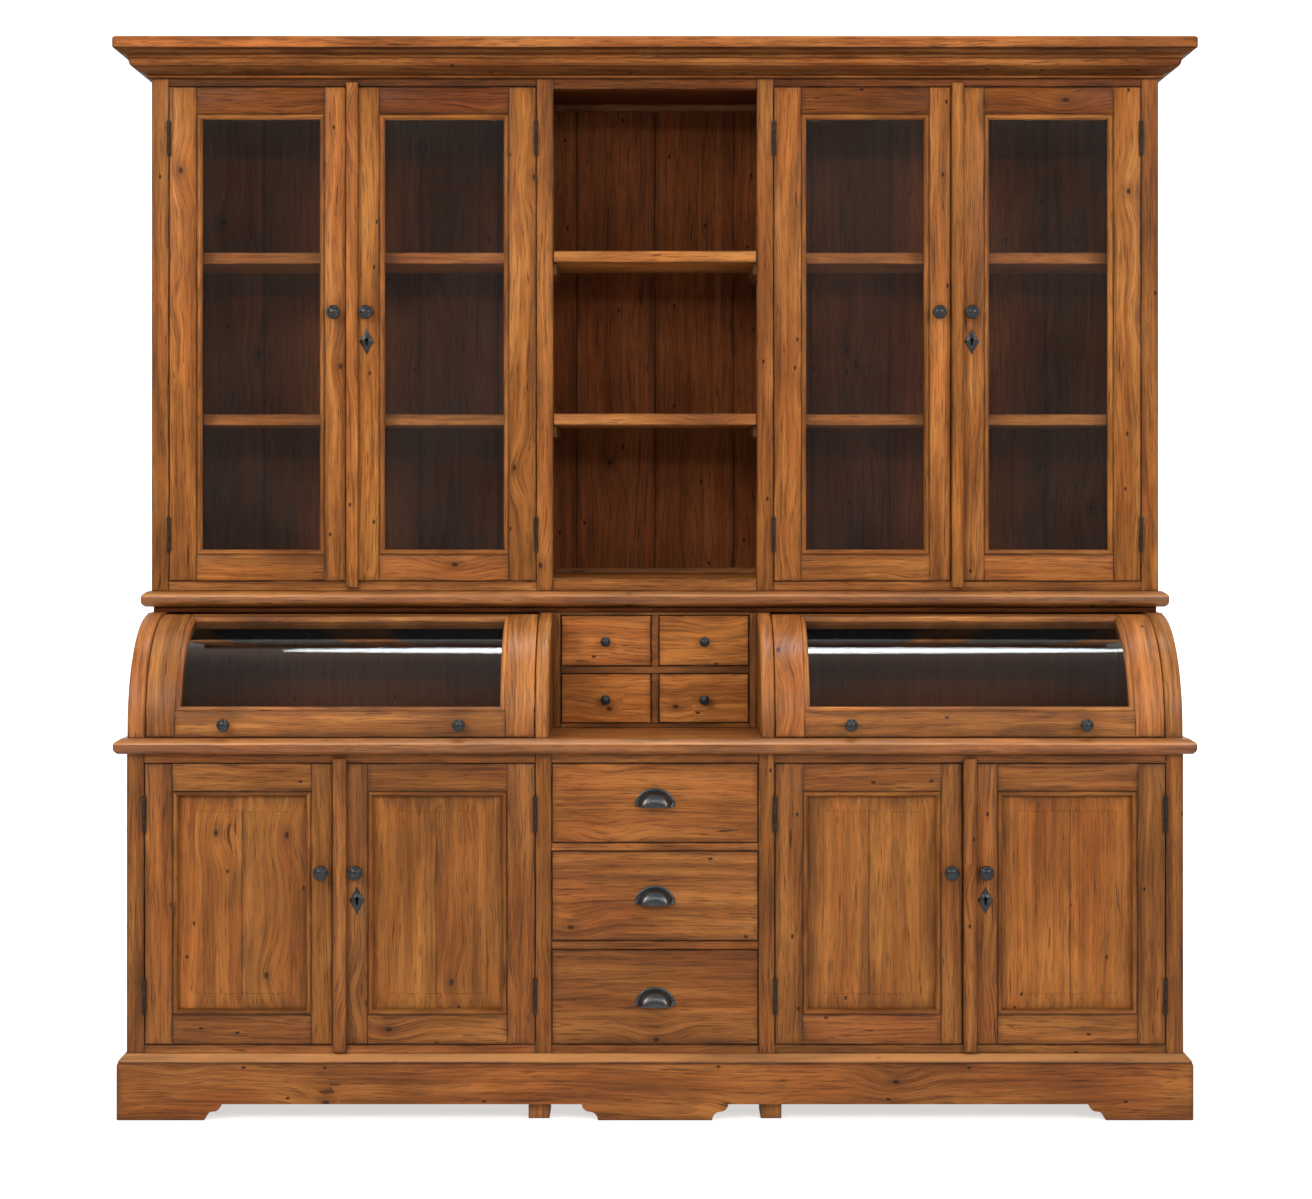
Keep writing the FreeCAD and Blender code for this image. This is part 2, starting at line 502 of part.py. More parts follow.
# ---------------------------------------------------------------- drawers
DH, DS, DL, FR = g("drawer_half"), g("drawer_side"), g("drawer_long"), g("front_thick")
CW = g("cup_wall")
for i, (lo, hi, floor, pull) in enumerate(((552.4, 709.4, 551, 624), (356.4, 534.2, 355, 429), (148.9, 336.8, 147.4, 226)), 1):
    box = [board(-DH, DH, 0, FR, lo, hi, "drawer_front")]
    box += pair(DH - DS - 1.5, DH - 1.5, FR, DL, floor + 0.3, hi - 16, "drawer_side")
    box.append(board(-DH + DS + 1.5, DH - DS - 1.5, DL - DS, DL, floor + 8, hi - 22, "drawer_back"))
    box.append(board(-DH + DS + 1.5, DH - DS - 1.5, FR, DL - DS, floor + 8, floor + 16, "drawer_bottom"))
    node("large_drawer_%d" % i, box)

    # quarter-turned shell, open below, closed at both ends
    def cup_line(half, out, k):
        c, h = math.cos(math.pi * k / 16), max(math.sin(math.pi * k / 16), 0)
        return half * math.copysign(abs(c) ** 0.55, c) if k != 8 else half * 0, out * (h ** 0.55) if k % 16 else 0
    cup_pts = [cup_line(g("cup_half"), g("cup_out"), 16 - k) for k in range(17)]
    cup_pts += [cup_line(g("cup_half") - CW, g("cup_out") - CW, k) for k in range(17)]
    body = doc.addObject("PartDesign::Body", uid("cup"))
    sk = outline(body, cup_pts, "cup_outline")
    rev = body.newObject("PartDesign::Revolution", uid("cup_turn"))
    rev.Profile = sk
    rev.ReferenceAxis = (sk, ["H_Axis"])
    rev.Angle = 90
    body.Tip = rev
    shell = put(body, 0, 0, pull, FreeCAD.Rotation(V(1, 0, 0), 90))
    def flange_line(half, high, k):
        c, h = math.cos(math.pi * k / 16), math.sin(math.pi * k / 16)
        return (half * c, pull + high * h if k % 16 else pull)
    ring = slab([flange_line(41, 37, k) for k in range(17)] + [flange_line(31, 23.5, 16 - k) for k in range(17)], "y", 0, 2, "cup_flange")
    node("large_drawer_%d_pull" % i, [fuse([shell, ring], "cup_pull")])

SI, SO, SL = g("small_in"), g("small_out"), g("small_long")
for row, (lo, hi, floor) in enumerate(((891, 995, 889.5), (772, 873, 770.5))):
    for side, tag in ((-1, "left"), (1, "right")):
        name = "small_drawer_%s_%s" % (("upper", "lower")[row], tag)
        x0, x1 = mirrored(SI, SO, side)
        box = [board(x0, x1, SF, SF + 15, lo, hi, "small_front"),
               board(x0 + 1, x0 + 11, SF + 15, SL, floor + 0.3, hi - 10, "small_side"),
               board(x1 - 11, x1 - 1, SF + 15, SL, floor + 0.3, hi - 10, "small_side"),
               board(x0 + 11, x1 - 11, SL - 10, SL, floor + 6, hi - 14, "small_back"),
               board(x0 + 11, x1 - 11, SF + 15, SL - 10, floor + 6, floor + 12, "small_bottom")]
        node(name, box)
        node(name + "_knob", [knob(g("knob_small"), 103 * side, SF, (941, 820)[row], 20)])

# ---------------------------------------------------------------- roll-top doors
RO, RI = g("roll_outer"), g("roll_inner")
RS = g("roll_stile")


# Part of a ring about the roll-top axis, between two angles up from the front, from x0 to x1
def sector(x0, x1, r_in, r_out, t0, t1, name):
    c, s = math.cos(math.radians(t0)), math.sin(math.radians(t0))
    m = FreeCAD.Matrix(0, 0, -1, 0, -c, s, 0, 0, s, c, 0, 0, 0, 0, 0, 1)
    rot = FreeCAD.Placement(m).Rotation
    o = doc.addObject("Part::Cylinder", uid(name))
    for prop, val in (("Radius", r_out), ("Height", q(x1) - q(x0)), ("Angle", t1 - t0)):
        setattr(o, prop, q(val).v)
        bind(o, prop, val)
    put(o, x1, R, AX, rot)
    return cut(o, rod(r_in, q(x1) - q(x0) + 2, q(x0) - 1, R, AX, "x", name + "_bore"), name)


pins = []
T0, TB, TT, T1 = -3.6, 12.3, 79.0, 88.0
for side, tag in ((-1, "left"), (1, "right")):
    x0, x1 = mirrored(g("cheek_high"), g("cheek_in"), side)
    a, b = x0 + DG, x1 - DG
    node("rolltop_%s_frame" % tag, [sector(a, a + RS, RI, RO, T0, T1, "roll_stile"), sector(b - RS, b, RI, RO, T0, T1, "roll_stile"),
                                    sector(a + RS, b - RS, RI, RO, T0, TB, "roll_bottom_rail"),
                                    sector(a + RS, b - RS, RI, RO, TT, T1, "roll_top_rail")])
    node("rolltop_%s_glass" % tag, [sector(a + RS, b - RS, g("pane_inner"), g("pane_outer"), TB, TT, "bent_pane")])
    metal = []
    for at, case_x in ((a + 1.5, x0), (b - 13.5, x1)):
        arm = board(at, at + 12, R - 8, R + 206, AX - 13, AX + 13, "arm_blank")
        # the arm is turned about the axis so that it points up and forward
        turn = FreeCAD.Placement(V(0, 0, 0), FreeCAD.Rotation(V(1, 0, 0), 135))
        off = turn.Rotation.multVec(V(0, -8, -13))
        arm.Placement = FreeCAD.Placement(arm.Placement.Base, turn.Rotation)
        bind(arm, "Placement.Base.y", R - g("front_shift") + off.y)
        bind(arm, "Placement.Base.z", AX + off.z)
        arm = common(arm, rod(RI - 0.35, 14, at - 1, R, AX, "x", "arm_limit"), "arm_blank")
        metal.append(cut(arm, rod(g("pivot_bore"), 14, at - 1, R, AX, "x", "arm_bore"), "pivot_arm"))
        if at.v < (a.v + b.v) / 2:
            pins.append(rod(g("pivot_rad"), 14.5, case_x, R, AX, "x", "pivot_pin"))
        else:
            pins.append(rod(g("pivot_rad"), 14.5, case_x - 14.5, R, AX, "x", "pivot_pin"))
    for kx in (392, 862):
        t = 2.5
        c, s = math.cos(math.radians(t)), math.sin(math.radians(t))
        metal.append(knob(g("knob_roll"), kx * side, R - RO * c, AX + RO * s, 24, FreeCAD.Rotation(V(1, 0, 0), -t).multiply(FreeCAD.Rotation(V(0, 0, 1), 180))))
    node("rolltop_%s_hardware" % tag, metal)
node("hinge_leaves_and_pins", fixed + pins)

# ---------------------------------------------------------------- export
doc.recompute()
bad = []
for o in doc.Objects:
    if "Invalid" in o.State or "Error" in o.State:
        bad.append((o.Name, o.State))
for o in NODES:
    if o.Shape.isNull() or not o.Shape.isValid() or not o.Shape.Solids:
        bad.append((o.Label, "shape"))
if bad:
    raise RuntimeError(str(bad[:20]))
os.makedirs("parts", exist_ok=True)
for o in NODES:
    o.Shape.exportStep("parts/%s.step" % o.Label)
print(len(NODES), "nodes", sum(len(o.Shape.Solids) for o in NODES), "solids")
box = FreeCAD.BoundBox()
for o in NODES:
    box.add(o.Shape.BoundBox)
print(box)
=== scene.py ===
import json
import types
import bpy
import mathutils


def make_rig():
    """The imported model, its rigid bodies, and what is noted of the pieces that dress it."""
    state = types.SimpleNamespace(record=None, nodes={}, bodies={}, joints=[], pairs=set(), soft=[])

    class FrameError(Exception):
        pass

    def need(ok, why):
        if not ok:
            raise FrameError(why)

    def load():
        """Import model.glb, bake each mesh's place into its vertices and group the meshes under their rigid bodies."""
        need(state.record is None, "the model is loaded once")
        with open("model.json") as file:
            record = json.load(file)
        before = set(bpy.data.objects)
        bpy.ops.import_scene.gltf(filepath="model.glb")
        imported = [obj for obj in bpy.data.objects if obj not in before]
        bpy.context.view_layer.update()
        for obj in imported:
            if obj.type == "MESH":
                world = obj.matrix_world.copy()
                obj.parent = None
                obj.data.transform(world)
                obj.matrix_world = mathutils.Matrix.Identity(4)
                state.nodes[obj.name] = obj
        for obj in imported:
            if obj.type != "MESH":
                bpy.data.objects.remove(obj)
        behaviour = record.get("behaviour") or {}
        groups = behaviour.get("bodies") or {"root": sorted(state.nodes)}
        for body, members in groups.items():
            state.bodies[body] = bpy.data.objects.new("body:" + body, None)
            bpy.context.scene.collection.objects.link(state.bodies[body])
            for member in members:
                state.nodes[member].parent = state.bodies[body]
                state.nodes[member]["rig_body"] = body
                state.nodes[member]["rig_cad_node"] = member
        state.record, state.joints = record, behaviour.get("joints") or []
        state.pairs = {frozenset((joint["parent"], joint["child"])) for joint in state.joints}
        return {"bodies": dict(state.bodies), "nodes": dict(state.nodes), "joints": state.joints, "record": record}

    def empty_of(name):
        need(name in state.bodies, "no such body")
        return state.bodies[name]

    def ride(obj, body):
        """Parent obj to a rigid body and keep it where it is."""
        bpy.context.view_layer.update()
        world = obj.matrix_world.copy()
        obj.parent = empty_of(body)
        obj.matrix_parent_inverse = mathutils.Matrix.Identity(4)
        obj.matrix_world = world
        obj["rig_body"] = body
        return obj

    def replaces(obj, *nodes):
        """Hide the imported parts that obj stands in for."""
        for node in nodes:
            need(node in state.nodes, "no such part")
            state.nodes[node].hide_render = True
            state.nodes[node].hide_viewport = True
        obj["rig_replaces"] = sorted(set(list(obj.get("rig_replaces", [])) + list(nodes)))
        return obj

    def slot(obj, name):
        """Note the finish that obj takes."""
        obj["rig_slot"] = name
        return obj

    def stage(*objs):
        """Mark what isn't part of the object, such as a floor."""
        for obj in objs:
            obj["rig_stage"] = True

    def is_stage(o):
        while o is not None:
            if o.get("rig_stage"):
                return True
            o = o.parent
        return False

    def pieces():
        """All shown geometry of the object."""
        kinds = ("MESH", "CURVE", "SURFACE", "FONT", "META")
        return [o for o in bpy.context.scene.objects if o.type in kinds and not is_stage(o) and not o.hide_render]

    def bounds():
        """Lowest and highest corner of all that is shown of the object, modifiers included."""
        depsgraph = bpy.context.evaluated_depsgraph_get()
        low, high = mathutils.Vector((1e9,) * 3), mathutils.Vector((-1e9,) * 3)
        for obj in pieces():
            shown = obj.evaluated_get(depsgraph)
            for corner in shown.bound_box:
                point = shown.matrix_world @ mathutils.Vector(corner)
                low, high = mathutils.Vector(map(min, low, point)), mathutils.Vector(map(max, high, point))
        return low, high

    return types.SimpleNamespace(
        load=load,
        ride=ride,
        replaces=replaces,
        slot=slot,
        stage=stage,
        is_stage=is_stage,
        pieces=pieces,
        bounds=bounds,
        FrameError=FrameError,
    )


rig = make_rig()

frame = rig.load()

import json
import math
import random

import bmesh
import bpy
from mathutils import Vector

CAD_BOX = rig.bounds()
Y0 = 0.276
scene = bpy.context.scene
REST = random.Random(41)
ROLL_LOW, ROLL_HIGH, KNOB_DEG = 12.3, 79.0, 2.5


def mm(*v):
    return [a / 1000.0 for a in v]


def at(x, d, z):
    """A point from millimetres: x, depth behind the base front, height."""
    return Vector((x / 1000.0, d / 1000.0 - Y0, z / 1000.0))


# ------------------------------------------------------------------ node helpers
class Tree:
    def __init__(self, mat):
        mat.use_nodes = True
        self.t = mat.node_tree
        self.t.nodes.clear()

    def add(self, kind, **props):
        n = self.t.nodes.new(kind)
        for k, v in props.items():
            setattr(n, k, v)
        return n

    def link(self, a, b):
        self.t.links.new(a, b)

    def put(self, socket, value):
        if isinstance(value, bpy.types.NodeSocket):
            self.link(value, socket)
        else:
            socket.default_value = value

    def math(self, op, a, b=0.0, c=0.0, clamp=False):
        n = self.add("ShaderNodeMath", operation=op, use_clamp=clamp)
        self.put(n.inputs[0], a)
        self.put(n.inputs[1], b)
        self.put(n.inputs[2], c)
        return n.outputs[0]

    def vec(self, op, a, b=(0, 0, 0), scale=None):
        n = self.add("ShaderNodeVectorMath", operation=op)
        self.put(n.inputs[0], a)
        self.put(n.inputs[1], b)
        if scale is not None:
            self.put(n.inputs["Scale"], scale)
        return n.outputs["Value"] if op in ("LENGTH", "DOT_PRODUCT", "DISTANCE") else n.outputs[0]

    def attr(self, name, out="Vector"):
        return self.add("ShaderNodeAttribute", attribute_name=name).outputs[out]

    def split(self, v):
        n = self.add("ShaderNodeSeparateXYZ")
        self.put(n.inputs[0], v)
        return n.outputs

    def join(self, x, y, z):
        n = self.add("ShaderNodeCombineXYZ")
        for i, v in enumerate((x, y, z)):
            self.put(n.inputs[i], v)
        return n.outputs[0]

    def noise(self, v, scale=1.0, detail=3.0, rough=0.5, distortion=0.0):
        n = self.add("ShaderNodeTexNoise")
        self.put(n.inputs["Vector"], v)
        n.inputs["Scale"].default_value = scale
        n.inputs["Detail"].default_value = detail
        n.inputs["Roughness"].default_value = rough
        n.inputs["Distortion"].default_value = distortion
        return n.outputs["Fac"]

    def voronoi(self, v, scale=1.0, rnd=1.0):
        n = self.add("ShaderNodeTexVoronoi", voronoi_dimensions="2D")
        self.put(n.inputs["Vector"], v)
        n.inputs["Scale"].default_value = scale
        n.inputs["Randomness"].default_value = rnd
        return n.outputs["Distance"], n.outputs["Color"]

    def ramp(self, fac, stops):
        n = self.add("ShaderNodeValToRGB")
        self.put(n.inputs[0], fac)
        e = n.color_ramp.elements
        while len(e) < len(stops):
            e.new(0.5)
        for el, (p, c) in zip(e, stops):
            el.position = p
            el.color = c if len(c) == 4 else (*c, 1)
        return n.outputs[0]

    def span(self, v, a, b, lo=0.0, hi=1.0, smooth=True):
        n = self.add("ShaderNodeMapRange", interpolation_type="SMOOTHSTEP" if smooth else "LINEAR")
        self.put(n.inputs["Value"], v)
        n.inputs["From Min"].default_value = a
        n.inputs["From Max"].default_value = b
        n.inputs["To Min"].default_value = lo
        n.inputs["To Max"].default_value = hi
        return n.outputs[0]

    def mix(self, fac, a, b, blend="MIX"):
        n = self.add("ShaderNodeMix", data_type="RGBA", blend_type=blend)
        self.put(n.inputs[0], fac)
        self.put(n.inputs[6], a)
        self.put(n.inputs[7], b)
        return n.outputs[2]

    def bump(self, height, strength, distance, normal=None):
        n = self.add("ShaderNodeBump")
        n.inputs["Strength"].default_value = strength
        n.inputs["Distance"].default_value = distance
        self.put(n.inputs["Height"], height)
        if normal is not None:
            self.put(n.inputs["Normal"], normal)
        return n.outputs[0]

    def finish(self, shader):
        out = self.add("ShaderNodeOutputMaterial")
        self.link(shader, out.inputs["Surface"])


# ------------------------------------------------------------------ materials
def wood(name, dark, mid, light, streak, tone=1.0, rough=0.44, dirt_and_shade_amount=1.0, sheen=0.14, streaks=1.0, wide=0.014, painted_down_shade=0.0, painted_nose_highlight=0.0):
    """Aged solid wood. Reads where a point is in its own board (wco: along the grain, across, through), how far it is
    from the board's edges (bco, bhs) and the board's own random numbers (brd)."""
    m = bpy.data.materials.new(name)
    t = Tree(m)
    p = t.attr("wco")
    brd = t.attr("brd")
    r1, r2, r3 = t.split(brd)
    px, py, pz = t.split(p)

    # knots and holes show on a board's broad faces, not as bars across its narrow edges
    bx, by, bz = t.split(t.vec("SUBTRACT", t.attr("bhs"), t.vec("ABSOLUTE", t.attr("bco"))))
    sa, ha, hb = t.split(t.attr("bwd"))
    broad = t.span(t.math("SUBTRACT", ha, t.math("ABSOLUTE", sa)), 0.0010, 0.0024)

    # knots: few, oval, pull the grain round themselves
    kv = t.join(t.math("MULTIPLY", px, 3.6), t.math("MULTIPLY", py, 5.5), t.math("MULTIPLY", pz, 1.5))
    kd, kc = t.voronoi(kv, 1.0)
    kr = t.split(kc)[0]
    has = t.math("MULTIPLY", t.math("GREATER_THAN", kr, 0.62), broad)
    knot_wide = t.math("MULTIPLY", has, t.span(kd, 0.0, 0.36, 1.0, 0.0))
    knot_core = t.math("MULTIPLY", has, t.span(kd, 0.014, 0.032, 1.0, 0.0))
    knot_eye = t.noise(t.vec("MULTIPLY", p, (60.0, 90.0, 60.0)), 1.0, 2.0)
    knot_saw = t.math("POWER", t.math("FRACT", t.math("ADD", t.math("MULTIPLY", kd, 42.0), t.math("MULTIPLY", knot_eye, 0.9))), 1.6)
    knot_ring = t.math("MULTIPLY", has, t.span(kd, 0.025, 0.125, 1.0, 0.0))
    knot_ring = t.math("MULTIPLY", knot_ring, t.math("ADD", 0.28, t.math("MULTIPLY", knot_saw, 0.95)), clamp=True)

    # slow wander of the grain
    w1 = t.noise(t.join(t.math("MULTIPLY", px, 1.3), t.math("MULTIPLY", py, 3.0), t.math("MULTIPLY", pz, 3.0)), 1.0, 2.0)
    w2 = t.noise(t.join(t.math("MULTIPLY", px, 5.0), t.math("MULTIPLY", py, 14.0), t.math("MULTIPLY", pz, 14.0)), 1.0, 2.0)
    wander = t.math("ADD", t.math("MULTIPLY", t.math("SUBTRACT", w1, 0.5), 0.050), t.math("MULTIPLY", t.math("SUBTRACT", w2, 0.5), 0.007))
    wander = t.math("ADD", wander, t.math("MULTIPLY", knot_wide, 0.019))
    gy = t.math("ADD", py, wander)

    # growth rings cut flat: a pith line behind the face gives flame figure on wide boards, lines on narrow ones
    oy = t.math("MULTIPLY", t.math("SUBTRACT", r1, 0.5), 0.20)
    oz = t.math("ADD", 0.03, t.math("MULTIPLY", r2, 0.12))
    ry = t.math("SUBTRACT", gy, oy)
    rz = t.math("ADD", pz, oz)
    rad = t.math("SQRT", t.math("ADD", t.math("MULTIPLY", ry, ry), t.math("MULTIPLY", rz, rz)))
    rad = t.math("ADD", rad, t.math("MULTIPLY", px, 0.018))
    ring_n = t.noise(t.join(t.math("MULTIPLY", rad, 60.0), t.math("MULTIPLY", px, 0.5), 0.0), 1.0, 3.0, 0.65)
    saw = t.math("FRACT", t.math("MULTIPLY", rad, 150.0))
    late = t.math("POWER", saw, 2.2)
    ring = t.math("MULTIPLY", late, t.span(ring_n, 0.35, 0.7))

    # fibre, pores and dark mineral streaks, all long in the grain
    fib = t.noise(t.join(t.math("MULTIPLY", px, 5.5), t.math("MULTIPLY", gy, 260.0), t.math("MULTIPLY", pz, 260.0)), 1.0, 4.0, 0.65)
    fib2 = t.noise(t.join(t.math("MULTIPLY", px, 2.2), t.math("MULTIPLY", gy, 62.0), t.math("MULTIPLY", pz, 62.0)), 1.0, 4.0, 0.55)
    pore = t.noise(t.join(t.math("MULTIPLY", px, 20.0), t.math("MULTIPLY", gy, 430.0), t.math("MULTIPLY", pz, 430.0)), 1.0, 2.0)
    pores = t.span(pore, 0.53, 0.66)
    st = t.noise(t.join(t.math("MULTIPLY", px, 1.2), t.math("MULTIPLY", gy, 27.0), t.math("MULTIPLY", pz, 27.0)), 1.0, 5.0, 0.68)
    streaky = t.span(st, 0.55, 0.80)
    st2 = t.noise(t.join(t.math("MULTIPLY", px, 5.5), t.math("MULTIPLY", gy, 105.0), t.math("MULTIPLY", pz, 105.0)), 1.0, 4.0, 0.65)
    streak2 = t.span(st2, 0.56, 0.67)
    blot = t.noise(t.join(t.math("MULTIPLY", px, 3.2), t.math("MULTIPLY", py, 8.0), t.math("MULTIPLY", pz, 8.0)), 1.0, 3.0)

    base = t.math("ADD", t.math("MULTIPLY", fib2, 0.36), t.math("ADD", t.math("MULTIPLY", blot, 0.34), t.math("MULTIPLY", fib, 0.30)))
    col = t.ramp(base, [(0.39, dark), (0.50, mid), (0.61, light)])
    col = t.mix(t.math("MULTIPLY", ring, 0.40), col, streak, "MIX")
    col = t.mix(t.math("MULTIPLY", t.span(fib, 0.50, 0.68), 0.40), col, streak)
    col = t.mix(t.math("MULTIPLY", streaky, 0.50 * streaks), col, streak)
    col = t.mix(t.math("MULTIPLY", streak2, 0.50 * streaks), col, streak)
    col = t.mix(t.math("MULTIPLY", pores, 0.52), col, streak)
    col = t.mix(t.math("MULTIPLY", knot_ring, 0.6), col, streak)
    black = (streak[0] * 0.30, streak[1] * 0.28, streak[2] * 0.28, 1)
    # red heartwood in patches, and short dark checks
    red = t.noise(t.join(t.math("MULTIPLY", px, 2.6), t.math("MULTIPLY", gy, 9.0), t.math("ADD", t.math("MULTIPLY", pz, 9.0), 7.3)), 1.0, 3.0, 0.6)
    col = t.mix(t.span(red, 0.46, 0.64, 0.0, 0.45), col, t.mix(1.0, col, (1.10, 0.86, 0.74, 1), "MULTIPLY"))
    check = t.noise(t.join(t.math("MULTIPLY", px, 13.0), t.math("MULTIPLY", gy, 170.0), t.math("ADD", t.math("MULTIPLY", pz, 170.0), 3.1)), 1.0, 2.0)
    col = t.mix(t.span(check, 0.68, 0.735, 0.0, 0.72), col, black)
    col = t.mix(t.math("MULTIPLY", knot_core, 0.85), col, black)

    # old nail holes and small dents
    nd, nc = t.voronoi(t.join(t.math("MULTIPLY", px, 7.5), t.math("MULTIPLY", py, 13.0), t.math("MULTIPLY", pz, 13.0)), 1.0)
    on = t.math("MULTIPLY", t.math("GREATER_THAN", t.split(nc)[1], 0.66), broad)
    hole = t.math("MULTIPLY", on, t.span(nd, 0.020, 0.046, 1.0, 0.0))
    col = t.mix(t.math("MULTIPLY", hole, 0.9), col, black)

    # dirt and wear along the board's own edges, together with painted shade: the dark band inside each edge also stands
    # in for the shade in recesses and along joints
    lo = t.math("MINIMUM", bx, by)
    hi = t.math("MAXIMUM", bx, by)
    edge = t.math("MAXIMUM", lo, t.math("MINIMUM", hi, bz))
    en = t.noise(t.vec("MULTIPLY", p, (9.0, 30.0, 30.0)), 1.0, 3.0)
    band = t.math("ADD", 0.005, t.math("MULTIPLY", en, wide))
    edge_dirt_and_shade = t.math("SUBTRACT", 1.0, t.math("DIVIDE", edge, band), clamp=True)
    edge_dirt_and_shade = t.math("MULTIPLY", edge_dirt_and_shade, t.span(en, 0.32, 0.68, 0.06, 0.62 * dirt_and_shade_amount))
    col = t.mix(edge_dirt_and_shade, col, streak)
    line = t.math("MULTIPLY", t.span(edge, 0.0005, 0.0026, 1.0, 0.0), t.span(en, 0.35, 0.60, 0.30, 0.75))
    col = t.mix(line, col, black)
    arris = t.math("MULTIPLY", t.span(edge, 0.0002, 0.0020, 1.0, 0.0), t.span(en, 0.56, 0.66, 0.0, 0.35))
    col = t.mix(arris, col, (light[0] * 1.15, light[1] * 1.15, light[2] * 1.15, 1))

    # painted shade: colour darkened where a moulding faces down, in place of the shade that falls under the cornice's
    # coves
    if painted_down_shade:
        down = t.split(t.add("ShaderNodeNewGeometry").outputs["Normal"])[2]
        col = t.mix(t.span(down, -0.95, 0.05, painted_down_shade, 0.0), col, black)

    # painted highlight: the upper round of a nose is made lighter where it faces up and forward, as if it caught the
    # light
    if painted_nose_highlight:
        up = t.split(t.add("ShaderNodeNewGeometry").outputs["Normal"])[2]
        nose_highlight = t.math("MULTIPLY", t.span(up, 0.16, 0.42), t.span(up, 0.96, 0.66))
        nose_highlight = t.math("MULTIPLY", nose_highlight, t.span(t.noise(t.join(t.math("MULTIPLY", px, 2.4), t.math("MULTIPLY", py, 30.0), 0.0), 1.0, 3.0), 0.32, 0.60, 0.35 * painted_nose_highlight, painted_nose_highlight))
        col = t.mix(nose_highlight, col, (min(light[0] * 1.9, 1), light[1] * 2.15, light[2] * 2.9, 1))

    # each board has its own tone, with any painted light or shade that its lift adds
    tint = t.math("ADD", 0.87 * tone, t.math("MULTIPLY", r3, 0.26 * tone))
    warm = t.join(tint, t.math("MULTIPLY", tint, t.math("ADD", 0.965, t.math("MULTIPLY", r2, 0.07))), t.math("MULTIPLY", tint, t.math("ADD", 0.90, t.math("MULTIPLY", r1, 0.20))))
    col = t.mix(1.0, col, warm, "MULTIPLY")

    bs = t.add("ShaderNodeBsdfPrincipled")
    t.link(col, bs.inputs["Base Color"])
    rg = t.math("ADD", rough - 0.08, t.math("MULTIPLY", fib2, 0.18))
    rg = t.math("ADD", rg, t.math("MULTIPLY", streaky, 0.10))
    t.link(rg, bs.inputs["Roughness"])
    bs.inputs["Specular IOR Level"].default_value = sheen
    h = t.math("ADD", t.math("MULTIPLY", fib, 0.5), t.math("MULTIPLY", ring, -0.35))
    h = t.math("ADD", h, t.math("MULTIPLY", pores, -0.5))
    h = t.math("ADD", h, t.math("MULTIPLY", hole, -4.0))
    h = t.math("ADD", h, t.math("MULTIPLY", knot_core, -1.0))
    h = t.math("ADD", h, t.math("MULTIPLY", w2, 2.0))
    t.link(t.bump(h, 0.55, 0.0006), bs.inputs["Normal"])
    t.finish(bs.outputs[0])
    return m


def iron(name, spec=0.40, rough=0.25):
    m = bpy.data.materials.new(name)
    t = Tree(m)
    c = t.add("ShaderNodeTexCoord").outputs["Object"]
    n1 = t.noise(c, 110.0, 4.0, 0.6)
    n2 = t.noise(c, 520.0, 3.0, 0.6)
    col = t.ramp(n1, [(0.30, (0.0045, 0.0048, 0.0053)), (0.52, (0.0080, 0.0086, 0.0095)), (0.76, (0.0180, 0.0185, 0.0190))])
    # hinges are dull and brown with old rust, marked by the third of a casting's own numbers
    hinge = t.math("GREATER_THAN", t.split(t.attr("brd"))[2], 1.5)
    rust = t.ramp(n1, [(0.30, (0.0090, 0.0062, 0.0050)), (0.55, (0.0180, 0.0124, 0.0096)), (0.76, (0.0380, 0.0250, 0.0180))])
    col = t.mix(hinge, col, rust)
    bs = t.add("ShaderNodeBsdfPrincipled")
    t.link(col, bs.inputs["Base Color"])
    bs.inputs["Metallic"].default_value = 0.05
    t.link(t.math("SUBTRACT", spec, t.math("MULTIPLY", hinge, spec * 0.62)), bs.inputs["Specular IOR Level"])
    t.link(t.math("ADD", t.math("MULTIPLY_ADD", hinge, 0.22, rough), t.math("MULTIPLY", n2, 0.14)), bs.inputs["Roughness"])
    t.link(t.bump(t.math("ADD", n1, t.math("MULTIPLY", n2, 0.2)), 0.06, 0.0004), bs.inputs["Normal"])
    t.finish(bs.outputs[0])
    return m


def clear_glass(name, ior, tint, film, haze):
    """Thin pane: light passes straight through, with the surface's own reflection and a faint uneven film of dust."""
    m = bpy.data.materials.new(name)
    t = Tree(m)
    c = t.add("ShaderNodeTexCoord").outputs["Object"]
    dust = t.noise(c, 3.0, 3.0, 0.6)
    tr = t.add("ShaderNodeBsdfTransparent")
    tr.inputs["Color"].default_value = (*tint, 1)
    df = t.add("ShaderNodeBsdfDiffuse")
    df.inputs["Color"].default_value = (0.50, 0.44, 0.39, 1)
    a = t.add("ShaderNodeMixShader")
    t.link(t.span(dust, 0.30, 0.72, 0.45 * haze, 1.5 * haze), a.inputs[0])
    t.link(tr.outputs[0], a.inputs[1])
    t.link(df.outputs[0], a.inputs[2])
    gl = t.add("ShaderNodeBsdfGlossy")
    gl.inputs["Color"].default_value = (0.93, 0.97, 1.0, 1)
    gl.inputs["Roughness"].default_value = film
    fr = t.add("ShaderNodeFresnel")
    fr.inputs["IOR"].default_value = ior
    b = t.add("ShaderNodeMixShader")
    t.link(fr.outputs[0], b.inputs[0])
    t.link(a.outputs[0], b.inputs[1])
    t.link(gl.outputs[0], b.inputs[2])
    t.finish(b.outputs[0])
    return m


